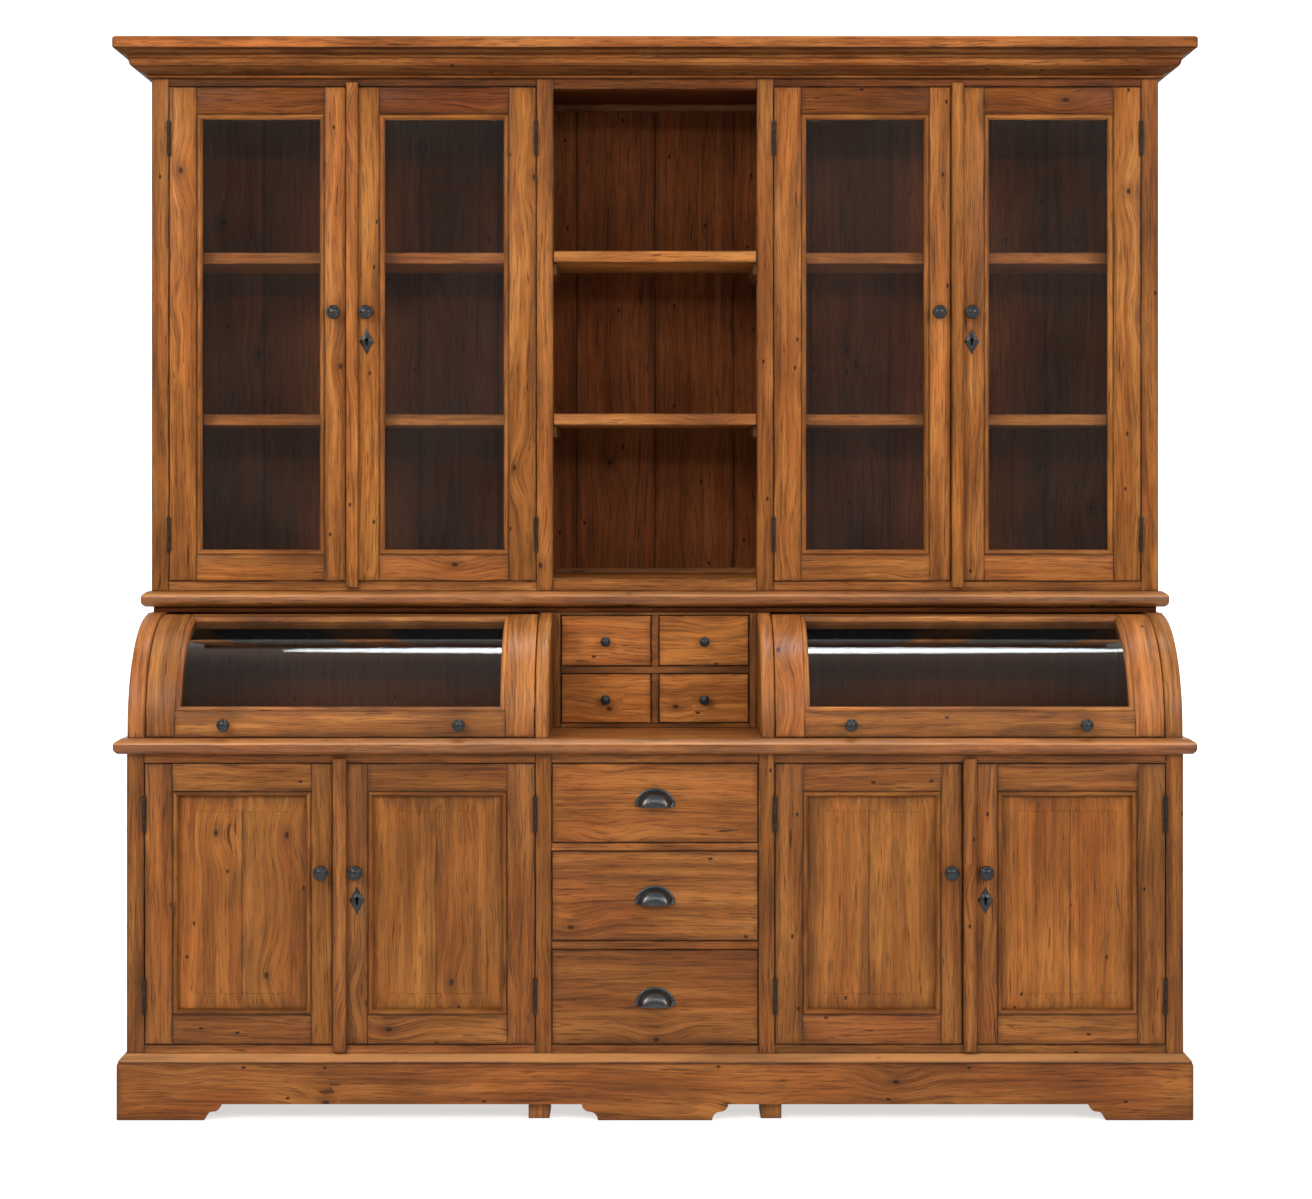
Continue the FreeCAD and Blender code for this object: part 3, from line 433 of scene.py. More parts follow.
WOOD = wood("aged_wood", (0.098, 0.0295, 0.0054, 1), (0.212, 0.0700, 0.0128, 1), (0.345, 0.1290, 0.0285, 1), (0.040, 0.0128, 0.0029, 1), tone=0.88)
# the panels' wide edge band paints the shade round their sunk fields, as well as dirt
PANEL = wood("panel_wood", (0.120, 0.0375, 0.0064, 1), (0.220, 0.0740, 0.0130, 1), (0.325, 0.1210, 0.0255, 1), (0.052, 0.0190, 0.0040, 1), streaks=0.5, wide=0.046)
# a lighter copy of the wood: painted light on the shelves' front edges
NOSE = wood("shelf_wood", (0.160, 0.0510, 0.0105, 1), (0.320, 0.1130, 0.0235, 1), (0.470, 0.1880, 0.0480, 1), (0.075, 0.0250, 0.0058, 1), dirt_and_shade_amount=0.5)
# the cornice wood paints shade on the down-facing faces of its mouldings
CROWN = wood("cornice_wood", (0.092, 0.0280, 0.0058, 1), (0.209, 0.0700, 0.0142, 1), (0.352, 0.1340, 0.0330, 1), (0.030, 0.0092, 0.0022, 1), tone=1.17, wide=0.010, dirt_and_shade_amount=0.9, painted_down_shade=0.66, rough=0.60, sheen=0.08)
# painted light: a lighter copy of the wood for the upward-facing roll-top frames and their end edges
TOP = wood("lit_wood", (0.105, 0.0320, 0.0060, 1), (0.228, 0.0770, 0.0148, 1), (0.370, 0.1420, 0.0330, 1), (0.044, 0.0142, 0.0034, 1), tone=1.18, sheen=0.22, rough=0.40)
# the counter, waist and plinth cap noses get a painted highlight along their upper round
EDGE = wood("nose_wood", (0.105, 0.0320, 0.0060, 1), (0.228, 0.0770, 0.0148, 1), (0.370, 0.1420, 0.0330, 1), (0.044, 0.0142, 0.0034, 1), tone=0.86, sheen=0.32, rough=0.33, painted_nose_highlight=0.44)
DOOR = wood("door_wood", (0.108, 0.0338, 0.0066, 1), (0.232, 0.0788, 0.0156, 1), (0.372, 0.1440, 0.0345, 1), (0.044, 0.0142, 0.0032, 1), tone=1.14, dirt_and_shade_amount=0.85, sheen=0.10, rough=0.42)
# dark wood for the neck, the hutch back and the niche top: partly the wood's own dark stain, partly painted shade of
# these recesses
DARK = wood("dark_wood", (0.066, 0.0185, 0.0046, 1), (0.112, 0.0325, 0.0082, 1), (0.160, 0.0490, 0.0130, 1), (0.022, 0.0066, 0.0022, 1), rough=0.65, sheen=0.05)
INNER = wood("inner_wood", (0.110, 0.040, 0.0125, 1), (0.190, 0.072, 0.0230, 1), (0.270, 0.108, 0.0360, 1), (0.050, 0.0185, 0.0065, 1), rough=0.62, sheen=0.10)
BACKING = wood("back_wood", (0.128, 0.0480, 0.0155, 1), (0.158, 0.0600, 0.0195, 1), (0.188, 0.0730, 0.0245, 1), (0.100, 0.0375, 0.0125, 1), rough=0.62, sheen=0.08, streaks=0.6)
IRON = iron("dark_iron")
PULL = iron("polished_iron", 0.75, 0.22)


def keyhole_shade_paint(name):
    """Painted shade: near-black for the deep hole behind a keyhole, laid on a thin plate in a shallow recess."""
    m = bpy.data.materials.new(name)
    t = Tree(m)
    n = t.noise(t.add("ShaderNodeTexCoord").outputs["Object"], 700.0, 3.0)
    bs = t.add("ShaderNodeBsdfPrincipled")
    t.link(t.ramp(n, [(0.3, (0.0008, 0.0008, 0.0008)), (0.7, (0.0022, 0.0020, 0.0018))]), bs.inputs["Base Color"])
    t.link(t.span(n, 0.3, 0.7, 0.85, 1.0), bs.inputs["Roughness"])
    bs.inputs["Specular IOR Level"].default_value = 0.05
    t.finish(bs.outputs[0])
    return m


KEYHOLE_SHADE_PAINT = keyhole_shade_paint("keyhole_shade")
GLASS = clear_glass("glass", 1.38, (0.95, 0.94, 0.92), 0.02, 0.008)
ROLL_GLASS = clear_glass("roll_glass", 1.25, (0.90, 0.86, 0.81), 0.015, 0.003)


# ------------------------------------------------------------------ pieces
class Piece:
    """One mesh object made of several boards or castings, each with its own grain."""

    def __init__(self):
        self.v, self.f, self.sm, self.wco, self.bco, self.bhs, self.brd, self.bwd = [], [], [], [], [], [], [], []

    def add(self, bm, grain="auto", smooth=False, frame_fn=None, rnd=None, keep=True):
        bm.verts.ensure_lookup_table()
        bm.verts.index_update()
        cs = [v.co.copy() for v in bm.verts]
        if not cs:
            return self
        lo = Vector([min(c[i] for c in cs) for i in range(3)])
        hi = Vector([max(c[i] for c in cs) for i in range(3)])
        mid, half = (lo + hi) / 2, (hi - lo) / 2
        order = sorted(range(3), key=lambda i: -half[i])
        if grain in ("x", "y", "z"):
            g = "xyz".index(grain)
            order = [g] + [i for i in order if i != g]
        rnd = rnd or (REST.random(), REST.random(), REST.random())
        off = Vector((REST.uniform(-40, 40), REST.uniform(-0.05, 0.05), REST.uniform(-3, 3)))
        off.z = 0.0
        off.y = REST.uniform(-0.04, 0.04)
        n0 = len(self.v)
        for c in cs:
            self.v.append(c)
            q = frame_fn(c) if frame_fn else Vector([(c - mid)[i] for i in order])
            self.wco.append(q + off)
            self.bco.append(c - mid)
            self.bhs.append(half)
            self.brd.append(rnd)
            self.bwd.append((0.0, 1.0, 0.0) if frame_fn else ((c - mid)[order[1]], half[order[1]], 0.0))
        for f in bm.faces:
            self.f.append([n0 + v.index for v in f.verts])
            self.sm.append(smooth)
        if keep:
            bm.free()
        return self

    def make(self, name, material, body, *nodes, slot=None, angle=32):
        me = bpy.data.meshes.new(name)
        me.from_pydata([tuple(c) for c in self.v], [], self.f)
        me.polygons.foreach_set("use_smooth", self.sm)
        for key, vals in (("wco", self.wco), ("bco", self.bco), ("bhs", self.bhs), ("brd", self.brd), ("bwd", self.bwd)):
            a = me.attributes.new(key, "FLOAT_VECTOR", "POINT")
            a.data.foreach_set("vector", [x for c in vals for x in c])
        me.materials.append(material)
        me.update()
        if any(self.sm):
            me.set_sharp_from_angle(angle=math.radians(angle))
        o = bpy.data.objects.new(name, me)
        scene.collection.objects.link(o)
        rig.ride(o, body)
        if nodes:
            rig.replaces(o, *nodes)
        if slot:
            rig.slot(o, slot)
        return o


def block(x0, x1, d0, d1, z0, z1, bevel=1.2, seg=2):
    """A board with eased edges, from millimetres."""
    bm = bmesh.new()
    bmesh.ops.create_cube(bm, size=1.0)
    a, b = at(x0, d0, z0), at(x1, d1, z1)
    for v in bm.verts:
        v.co = Vector([a[i] + (v.co[i] + 0.5) * (b[i] - a[i]) for i in range(3)])
    ease(bm, bevel, seg)
    return bm


def ease(bm, bevel, seg=2, sharp=28):
    bmesh.ops.recalc_face_normals(bm, faces=bm.faces)
    es = [e for e in bm.edges if len(e.link_faces) == 2 and e.calc_face_angle(0) > math.radians(sharp)]
    if es and bevel > 0:
        bmesh.ops.bevel(bm, geom=es, offset=bevel / 1000.0, offset_type="OFFSET", segments=seg, profile=0.5, affect="EDGES", clamp_overlap=True)
    return bm


def islands(node):
    """The solids of a CAD node, each as its own clean mesh. Faces are taken in order until their edges close up."""
    me = frame["nodes"][node].data
    key = [tuple(round(c * 2e5) for c in v.co) for v in me.vertices]
    out, faces, open_edges = [], [], set()
    for p in me.polygons:
        ks = [key[i] for i in p.vertices]
        faces.append(list(p.vertices))
        for a, b in zip(ks, ks[1:] + ks[:1]):
            if a == b:
                continue
            if (b, a) in open_edges:
                open_edges.remove((b, a))
            else:
                open_edges.add((a, b))
        if not open_edges:
            out.append(faces)
            faces = []
    if faces:
        out.append(faces)
    made = []
    for group in out:
        bm = bmesh.new()
        to = {}
        for f in group:
            for i in f:
                if key[i] not in to:
                    to[key[i]] = bm.verts.new(me.vertices[i].co)
            ring = [to[key[i]] for i in f]
            if len(set(ring)) == len(ring):
                try:
                    bm.faces.new(ring)
                except ValueError:
                    pass
        made.append(bm)
    return made


def shade(lift):
    """A board's own random numbers; the third sets its tone, lifted or lowered, and a lift paints light or shade into
    the board. Boards well lowered are also redder.
    """
    deep = lift if lift < -1.0 else 0.0
    return (REST.random() + deep, REST.random() + 1.4 * deep, REST.random() + lift)


def clean(bm):
    bmesh.ops.dissolve_limit(bm, angle_limit=math.radians(0.4), use_dissolve_boundaries=False, verts=bm.verts, edges=bm.edges)
    return bm


def solids(node, bevel=1.2, seg=2, grain="auto", smooth=False, sharp=28, lift=0.0):
    pc = Piece()
    for bm in islands(node):
        pc.add(ease(clean(bm), bevel, seg, sharp), grain, smooth, rnd=shade(lift))
    return pc


def cut(bm, z):
    """The parts of a solid below and above a height, each closed."""
    parts = []
    for below in (True, False):
        b = bm.copy()
        bmesh.ops.bisect_plane(b, geom=b.verts[:] + b.edges[:] + b.faces[:], dist=1e-7, plane_co=(0, 0, z / 1000.0), plane_no=(0, 0, 1), clear_outer=below, clear_inner=not below)
        bmesh.ops.holes_fill(b, edges=[e for e in b.edges if len(e.link_faces) == 1], sides=0)
        parts.append(b)
    bm.free()
    return parts


BODY = {}
for b, names in frame["record"]["behaviour"]["bodies"].items():
    for n in names:
        BODY[n] = b


def show(node, material, bevel=1.2, seg=2, grain="auto", smooth=False, slot="aged_wood", sharp=28, lift=0.0):
    return solids(node, bevel, seg, grain, smooth, sharp, lift).make(node + "_piece", material, BODY[node], node, slot=slot)


# fixed boards straight from the CAD solids, with eased edges
low, cap = Piece(), Piece()
for bm in islands("plinth"):
    for part, pc in zip(cut(bm, 113.0), (low, cap)):
        pc.add(ease(clean(part), 1.2), "auto", rnd=shade(0.45 if pc is low else 0.0))
low.make("plinth_boards", WOOD, BODY["plinth"], "plinth", slot="aged_wood")
cap.make("plinth_cap", EDGE, BODY["plinth"], slot="aged_wood")
show("feet", INNER, 1.5, slot="inner_wood")
show("base_uprights", WOOD, 1.5)
show("base_floor_board", INNER, 1.0, slot="inner_wood")
show("base_face_frame", WOOD, 1.0)
show("lower_back_panels", BACKING, 1.0, grain="z", slot="inner_wood")
show("countertop", EDGE, 3.0, 3, smooth=True)
show("waist_board", EDGE, 3.0, 3, smooth=True)
# painted shade: the neck board under the waist board is made dark and lowered in tone
show("deck_board", DARK, 1.0, lift=-1.3)
show("small_drawer_case", WOOD, 0.9)
show("hutch_uprights", DOOR, 1.4)
pc = Piece()
for bm in islands("hutch_face_frame"):
    z = [v.co.z for v in bm.verts]
    x = [v.co.x for v in bm.verts]
    head = max(x) - min(x) > max(z) - min(z) and min(z) > 2.0
    # painted shade: the head rails across the top of the hutch are lowered in tone
    pc.add(ease(clean(bm), 1.0), "auto", rnd=shade(-2.2 if head else -0.3))
pc.make("hutch_face_frame_boards", DOOR, BODY["hutch_face_frame"], "hutch_face_frame", slot="aged_wood")
show("hutch_back_planks", DARK, 1.6, grain="z", slot="inner_wood")
pc = Piece()
for bm in islands("shelves"):
    x = sum(v.co.x for v in bm.verts) / len(bm.verts)
    # painted light: the shelves behind the glass are lifted in tone
    pc.add(ease(clean(bm), 2.0), "x", rnd=shade(1.3 if abs(x) > 0.25 else 0.0))
pc.make("shelf_boards", NOSE, BODY["shelves"], "shelves", slot="aged_wood")
show("runners_and_cleats", INNER, 1.2, slot="inner_wood")
# painted shade: the boards at the top of the niche are lowered in tone
show("hutch_top_boards", DARK, 1.0, slot="inner_wood", lift=-1.6)
pc = Piece()
for bm in islands("cornice"):
    z = [v.co.z * 1000 for v in bm.verts]
    for part in cut(bm, 2175.0 if max(z) > 2190 else 2127.0):
        pc.add(ease(clean(part), 0.9), "auto")
pc.make("cornice_mouldings", CROWN, BODY["cornice"], "cornice", slot="aged_wood")
for i in (1, 2, 3):
    show("large_drawer_%d" % i, WOOD, 1.6)
# painted light: the small drawer fronts in their recess are lifted in tone
for a in ("upper", "lower"):
    for b in ("left", "right"):
        show("small_drawer_%s_%s" % (a, b), DOOR, 1.4, lift=1.2)

for n, o in frame["nodes"].items():
    if n.endswith("_glass") and n.startswith("hutch"):
        o.data.materials.clear()
        o.data.materials.append(GLASS)

# ------------------------------------------------------------------ doors
BEAD = [(0.0, 2.6), (0.9, 2.8), (1.5, 1.6), (2.8, 0.7), (4.6, 0.35), (6.6, 0.9), (8.4, 2.3), (9.8, 4.3), (10.6, 6.6), (11.0, 9.0)]
BW = 11.0


def strip_mesh(prof_lo, prof_hi):
    """Closed prism between two matching rings of points."""
    bm = bmesh.new()
    lo = [bm.verts.new(p) for p in prof_lo]
    hi = [bm.verts.new(p) for p in prof_hi]
    n = len(lo)
    for i in range(n):
        j = (i + 1) % n
        bm.faces.new((lo[i], lo[j], hi[j], hi[i]))
    bm.faces.new(lo[::-1])
    bm.faces.new(hi)
    bmesh.ops.recalc_face_normals(bm, faces=bm.faces)
    return bm


def beads(pc, a, b, c, e, face, back):
    """Mitred bead round an opening a..b, c..e measured at the flat edges of the stiles and rails."""
    prof = BEAD + [(BW, back), (0.0, back)]
    runs = (
        ([at(a + u, face + t, c + u) for u, t in prof], [at(a + u, face + t, e - u) for u, t in prof], "z"),
        ([at(b - u, face + t, c + u) for u, t in prof], [at(b - u, face + t, e - u) for u, t in prof], "z"),
        ([at(a + u, face + t, c + u) for u, t in prof], [at(b - u, face + t, c + u) for u, t in prof], "x"),
        ([at(a + u, face + t, e - u) for u, t in prof], [at(b - u, face + t, e - u) for u, t in prof], "x"),
    )
    for lo, hi, g in runs:
        pc.add(strip_mesh(lo, hi), g, True)


def panel_half(xa, xb, a, b, c, e, face):
    """Half of a raised panel: sloped border, a small step, then the flat field."""
    w = 30.0
    cols = sorted({xa, xb} | {x for x in (a, a + w, a + w + 1.2, b - w - 1.2, b - w, b) if xa <= x <= xb})
    rows = [c, c + w, c + w + 1.2, e - w - 1.2, e - w, e]

    def depth(x, z):
        m = min(x - a, b - x, z - c, e - z)
        return 13.0 - 2.6 * m / w if m <= w else 9.2

    bm = bmesh.new()
    grid = [[bm.verts.new(at(x, face + depth(x, z), z)) for x in cols] for z in rows]
    for i in range(len(rows) - 1):
        for j in range(len(cols) - 1):
            q = (grid[i][j], grid[i][j + 1], grid[i + 1][j + 1], grid[i + 1][j])
            corner = (i in (0, len(rows) - 2)) and (cols[j] in (a, b) or cols[j + 1] in (a, b))
            if corner:
                first = (i == 0) == (cols[j] == a)
                if first:
                    bm.faces.new((q[0], q[1], q[2]))
                    bm.faces.new((q[0], q[2], q[3]))
                else:
                    bm.faces.new((q[0], q[1], q[3]))
                    bm.faces.new((q[1], q[2], q[3]))
            else:
                bm.faces.new(q)
    rim = grid[0][:] + [r[-1] for r in grid[1:]] + grid[-1][-2::-1] + [r[0] for r in grid[-2:0:-1]]
    back = [bm.verts.new((v.co.x, (face + 18) / 1000.0 - Y0, v.co.z)) for v in rim]
    n = len(rim)
    for i in range(n):
        j = (i + 1) % n
        bm.faces.new((rim[i], rim[j], back[j], back[i]))
    bm.faces.new(back)
    bmesh.ops.recalc_face_normals(bm, faces=bm.faces)
    return bm


def lathe(prof, x, d, z, tilt=0.0, seg=30):
    """Turned piece: (radius, height out of the face) pairs from the base to the tip; tilt lifts its axis."""
    bm = bmesh.new()
    ca, sa = math.cos(math.radians(tilt)), math.sin(math.radians(tilt))

    def pt(r, h, k):
        an = 2 * math.pi * k / seg
        u, v = r * math.cos(an), r * math.sin(an)
        return at(x + u, d - h * ca + v * sa, z + h * sa + v * ca)

    rings = []
    for r, h in prof:
        rings.append([bm.verts.new(pt(0, h, 0))] if r < 1e-6 else [bm.verts.new(pt(r, h, k)) for k in range(seg)])
    for p, q in zip(rings, rings[1:]):
        for k in range(seg):
            m = (k + 1) % seg
            if len(p) == 1:
                bm.faces.new((p[0], q[k], q[m]))
            elif len(q) == 1:
                bm.faces.new((p[k], q[0], p[m]))
            else:
                bm.faces.new((p[k], q[k], q[m], p[m]))
    if len(rings[0]) > 1:
        bm.faces.new(rings[0])
    bmesh.ops.recalc_face_normals(bm, faces=bm.faces)
    return bm


def knob_mesh(r, x, d, z, out, tilt=0.0):
    prof = [(0.80 * r, 0), (0.80 * r, 1.4), (0.74 * r, 2.2), (0.55 * r, 2.8), (0.42 * r, 4.2), (0.37 * r, 0.26 * out), (0.38 * r, 0.38 * out),
            (0.50 * r, 0.47 * out), (0.74 * r, 0.54 * out), (0.92 * r, 0.60 * out), (0.99 * r, 0.67 * out), (r, 0.72 * out), (0.985 * r, 0.77 * out),
            (0.93 * r, 0.825 * out), (0.85 * r, 0.865 * out), (0.755 * r, 0.885 * out), (0.70 * r, 0.872 * out), (0.655 * r, 0.90 * out),
            (0.56 * r, 0.945 * out), (0.42 * r, 0.975 * out), (0.22 * r, 0.994 * out), (0, out)]
    return lathe(prof, x, d, z, tilt)


def plate_ring(outer, inner, d, thick, cham):
    """Flat plate with a hole, front edges chamfered, from matching rings of (x, z) points."""
    bm = bmesh.new()
    n = len(outer)
    cx, cz = sum(p[0] for p in outer) / n, sum(p[1] for p in outer) / n

    def shrink(p, k):
        dx, dz = p[0] - cx, p[1] - cz
        m = math.hypot(dx, dz)
        return (p[0] - dx / m * k, p[1] - dz / m * k)

    o_back = [bm.verts.new(at(p[0], d, p[1])) for p in outer]
    o_mid = [bm.verts.new(at(p[0], d - thick + cham, p[1])) for p in outer]
    o_top = [bm.verts.new(at(*(lambda s: (s[0], d - thick, s[1]))(shrink(p, cham)))) for p in outer]
    ix, iz = sum(p[0] for p in inner) / n, sum(p[1] for p in inner) / n

    def grow(p, k):
        dx, dz = p[0] - ix, p[1] - iz
        m = max(math.hypot(dx, dz), 1e-6)
        return (p[0] + dx / m * k, p[1] + dz / m * k)

    foot = [bm.verts.new(at(*(lambda s: (s[0], d - thick, s[1]))(grow(p, 2.1)))) for p in inner]
    rim = [bm.verts.new(at(*(lambda s: (s[0], d - thick - 0.8, s[1]))(grow(p, 1.3)))) for p in inner]
    i_top = [bm.verts.new(at(*(lambda s: (s[0], d - thick - 0.7, s[1]))(grow(p, 0.3)))) for p in inner]
    i_low = [bm.verts.new(at(p[0], d - 0.2, p[1])) for p in inner]
    for i in range(n):
        j = (i + 1) % n
        for p, q in ((o_back, o_mid), (o_mid, o_top), (o_top, foot), (foot, rim), (rim, i_top), (i_top, i_low)):
            bm.faces.new((p[i], p[j], q[j], q[i]))
    bm.faces.new(i_low)
    bm.faces.new(o_back[::-1])
    bmesh.ops.recalc_face_normals(bm, faces=bm.faces)
    return bm


def escutcheon_mesh(pc, x, d, z):
    n = 40
    outer, inner = [], []
    for k in range(n):
        an = 2 * math.pi * k / n
        c, s = abs(math.cos(an)), abs(math.sin(an))
        # slightly hollow-sided lozenge
        p = 0.93
        r = 1.0 / ((c / 15.6) ** p + (s / 27.5) ** p) ** (1 / p)
        outer.append((x + r * math.cos(an), z + r * math.sin(an)))
        ri = 3.5
        u, v = ri * math.cos(an), ri * math.sin(an) + 3.0
        if math.sin(an) < -0.62:
            side = 1 if math.cos(an) > 0 else -1
            u = side * 2.1 * min(1, abs(math.cos(an)) / 0.30)
            v = 0.6 if math.sin(an) > -0.75 else -2.6 if math.sin(an) > -0.85 else -5.4 if math.sin(an) > -0.92 else -8.0
        inner.append((x + u, z + v))
    pc.add(plate_ring(outer, inner, d, 2.0, 0.7), "z", False)
    # a thin plate at the recess floor carries the painted shade of the keyhole
    small = [(x + (u - x) * 0.96, z - 1.5 + (v - z + 1.5) * 0.96) for u, v in inner]
    return strip_mesh([at(u, d - 0.25, v) for u, v in small], [at(u, d - 0.65, v) for u, v in small])


IRONWORK = {}
for n in frame["nodes"]:
    if n.endswith("_hardware"):
        IRONWORK[n] = [b for b in islands(n)]


def extent(bm):
    cs = [v.co for v in bm.verts]
    return [min(c[i] for c in cs) for i in range(3)], [max(c[i] for c in cs) for i in range(3)]


def door_iron(label, knob_x, knob_z, face, lock):
    """Hinge leaves and lock case as built; the knob and the key plate get their fine shape."""
    pc = Piece()
    for bm in IRONWORK[label + "_hardware"]:
        lo, hi = extent(bm)
        w, h = (hi[0] - lo[0]) * 1000, (hi[2] - lo[2]) * 1000
        if h > 65:
            pc.add(ease(clean(bm), 0.25, 1), "z", True, rnd=shade(2.0))
        elif w > 45 and h > 55:
            pc.add(ease(clean(bm), 0.8, 2), "z")
        else:
            bm.free()
    pc.add(knob_mesh(14.9, knob_x, face, knob_z, 28), "y", True)
    if lock:
        kp = Piece()
        kp.add(escutcheon_mesh(pc, lock[0], face, lock[1]), "z")
        kp.make(label + "_keyhole", KEYHOLE_SHADE_PAINT, BODY[label + "_hardware"], slot="dark_iron")
    pc.make(label + "_iron", IRON, BODY[label + "_hardware"], label + "_hardware", slot="dark_iron", angle=50)


def door_piece(label, x0, x1, face, z0, z1, wl, wr, rlo, rhi, strip, glazed):
    body = BODY[label + "_frame"]
    pc = Piece()
    back = 22.0
    fl, fr, fb, ft = x0 + wl - BW, x1 - wr + BW, z0 + rlo - BW, z1 - rhi + BW
    pc.add(block(x0, fl, face, face + back, z0, z1, 1.1), "z")
    pc.add(block(fr, x1, face, face + back, z0, z1, 1.1), "z")
    pc.add(block(fl, fr, face, face + back, z0, fb, 0.9), "x")
    # painted shade: a glazed door's top rail is lowered in tone, as under the cornice
    pc.add(block(fl, fr, face, face + back, ft, z1, 0.9), "x", rnd=shade(-2.1 if glazed else 0.0))
    beads(pc, fl, fr, fb, ft, face, back)
    if strip:
        pc.add(block(strip[0], strip[1], face - 11, face, strip[2], strip[3], 2.6, 3), "z")
    o = pc.make(label + "_wood", DOOR if glazed else WOOD, body, label + "_frame", slot="aged_wood")
    if not glazed:
        a, b, c, e = x0 + wl, x1 - wr, z0 + rlo, z1 - rhi
        cut = a + (b - a) * REST.uniform(0.46, 0.57)
        pn = Piece()
        pn.add(panel_half(a, cut, a, b, c, e, face), "z")
        pn.add(panel_half(cut, b, a, b, c, e, face), "z")
        p = pn.make(label + "_panel", PANEL, body, slot="aged_wood")
    return o


for tag, a0, a1, b0, b1, kx, lx, sc in (("left", -1020.5, -645.5, -644.0, -240.5, (-667, -598), -596, -630), ("right", 240.5, 614.5, 616.0, 1020.5, (592, 661), 661, 630)):
    n = "base_door_%s_" % tag
    door_piece(n + "a", a0, a1, 0, 148.9, 709.4, 66, 53, 69, 66, None, False)
    door_piece(n + "b", b0, b1, 0, 148.9, 709.4, 80, 66, 69, 66, (sc - 14, sc + 14, 133, 721), False)
    door_iron(n + "a", kx[0], 493, 0, None)
    door_iron(n + "b", kx[1], 493, 0, (lx, 436))
for tag, a0, a1, b0, b1, kx, lx, sc in (("left", -1019.5, -649.5, -648.0, -250.0, (-673, -605.5), -605, -635), ("right", 250.0, 620.5, 622.0, 1019.5, (596, 664.5), 665, 635)):
    n = "hutch_door_%s_" % tag
    door_piece(n + "a", a0, a1, 268, 1067, 2103, 68, 55, 65, 67, None, True)
    door_piece(n + "b", b0, b1, 268, 1067, 2103, 80, 68, 65, 67, (sc - 13, sc + 13, 1052, 2113), True)
    door_iron(n + "a", kx[0], 1630, 268, None)
    door_iron(n + "b", kx[1], 1630, 268, (lx, 1569))

show("hinge_leaves_and_pins", IRON, 0.25, 1, grain="z", smooth=True, slot="dark_iron", sharp=50, lift=2.0)

# ------------------------------------------------------------------ roll-tops
RC_D, RC_Z = 224.0, 777.0


def arc(r, deg, x):
    a = math.radians(deg)
    return at(x, RC_D - r * math.cos(a), RC_Z + r * math.sin(a))


def sweep(section, t0, t1, n, lead=None):
    """Section of (x, r) points swept round the roll-top axis; lead gives each point its own start and end shift in degrees."""
    bm = bmesh.new()
    rows = []
    for k in range(n + 1):
        row = []
        for i, (x, r) in enumerate(section):
            s = lead[i] if lead else 0.0
            lo, hi = t0 + s, t1 - s
            row.append(bm.verts.new(arc(r, lo + (hi - lo) * k / n, x)))
        rows.append(row)
    m = len(section)
    for k in range(n):
        for i in range(m):
            j = (i + 1) % m
            bm.faces.new((rows[k][i], rows[k][j], rows[k + 1][j], rows[k + 1][i]))
    bm.faces.new(rows[0][::-1])
    bm.faces.new(rows[-1])
    bmesh.ops.recalc_face_normals(bm, faces=bm.faces)
    return bm


def bent(c):
    """Grain that follows the curve: along the arc, across it, through it."""
    y, z = c.y - (RC_D / 1000.0 - Y0), c.z - RC_Z / 1000.0
    r = math.hypot(y, z)
    return Vector((math.atan2(z, -y) * 0.21, c.x, r - 0.21))


ends = Piece()
panels = Piece()
for x0, x1 in ((-1056.5, -1021.0), (-240.0, -213.0), (213.0, 240.0), (1021.0, 1056.5)):
    outl = [(14.0, 761.0), (565.0, 761.0), (565.0, 1001.0), (224.0, 1001.0)]
    outl += [(RC_D - 210.0 * math.cos(math.radians(t)), RC_Z + 210.0 * math.sin(math.radians(t))) for t in range(90, -1, -3)]
    panels.add(ease(strip_mesh([at(x0, u, v) for u, v in outl], [at(x1, u, v) for u, v in outl]), 0.8, 2), "z")
    sec = [(x0, 210.0), (x0, 218.0), (x0 + 0.7, 220.6), (x0 + 2.4, 222.8), (x0 + 5.5, 224.0), (x1 - 5.5, 224.0), (x1 - 2.4, 222.8), (x1 - 0.7, 220.6), (x1, 218.0), (x1, 210.0)]
    bm = bmesh.new()
    rows = [[bm.verts.new(at(x, RC_D - r, 761.0)) for x, r in sec]]
    for k in range(46):
        rows.append([bm.verts.new(arc(r, 2.0 * k, x)) for x, r in sec])
    for p, q in zip(rows, rows[1:]):
        for i in range(len(sec)):
            j = (i + 1) % len(sec)
            bm.faces.new((p[i], p[j], q[j], q[i]))
    bm.faces.new(rows[0][::-1])
    bm.faces.new(rows[-1])
    bmesh.ops.recalc_face_normals(bm, faces=bm.faces)
    ends.add(bm, "z", True, frame_fn=bent)
panels.make("rolltop_end_boards", WOOD, BODY["rolltop_end_panels"], "rolltop_end_panels", slot="aged_wood")
ends.make("rolltop_end_edges", TOP, BODY["rolltop_end_panels"], slot="aged_wood")

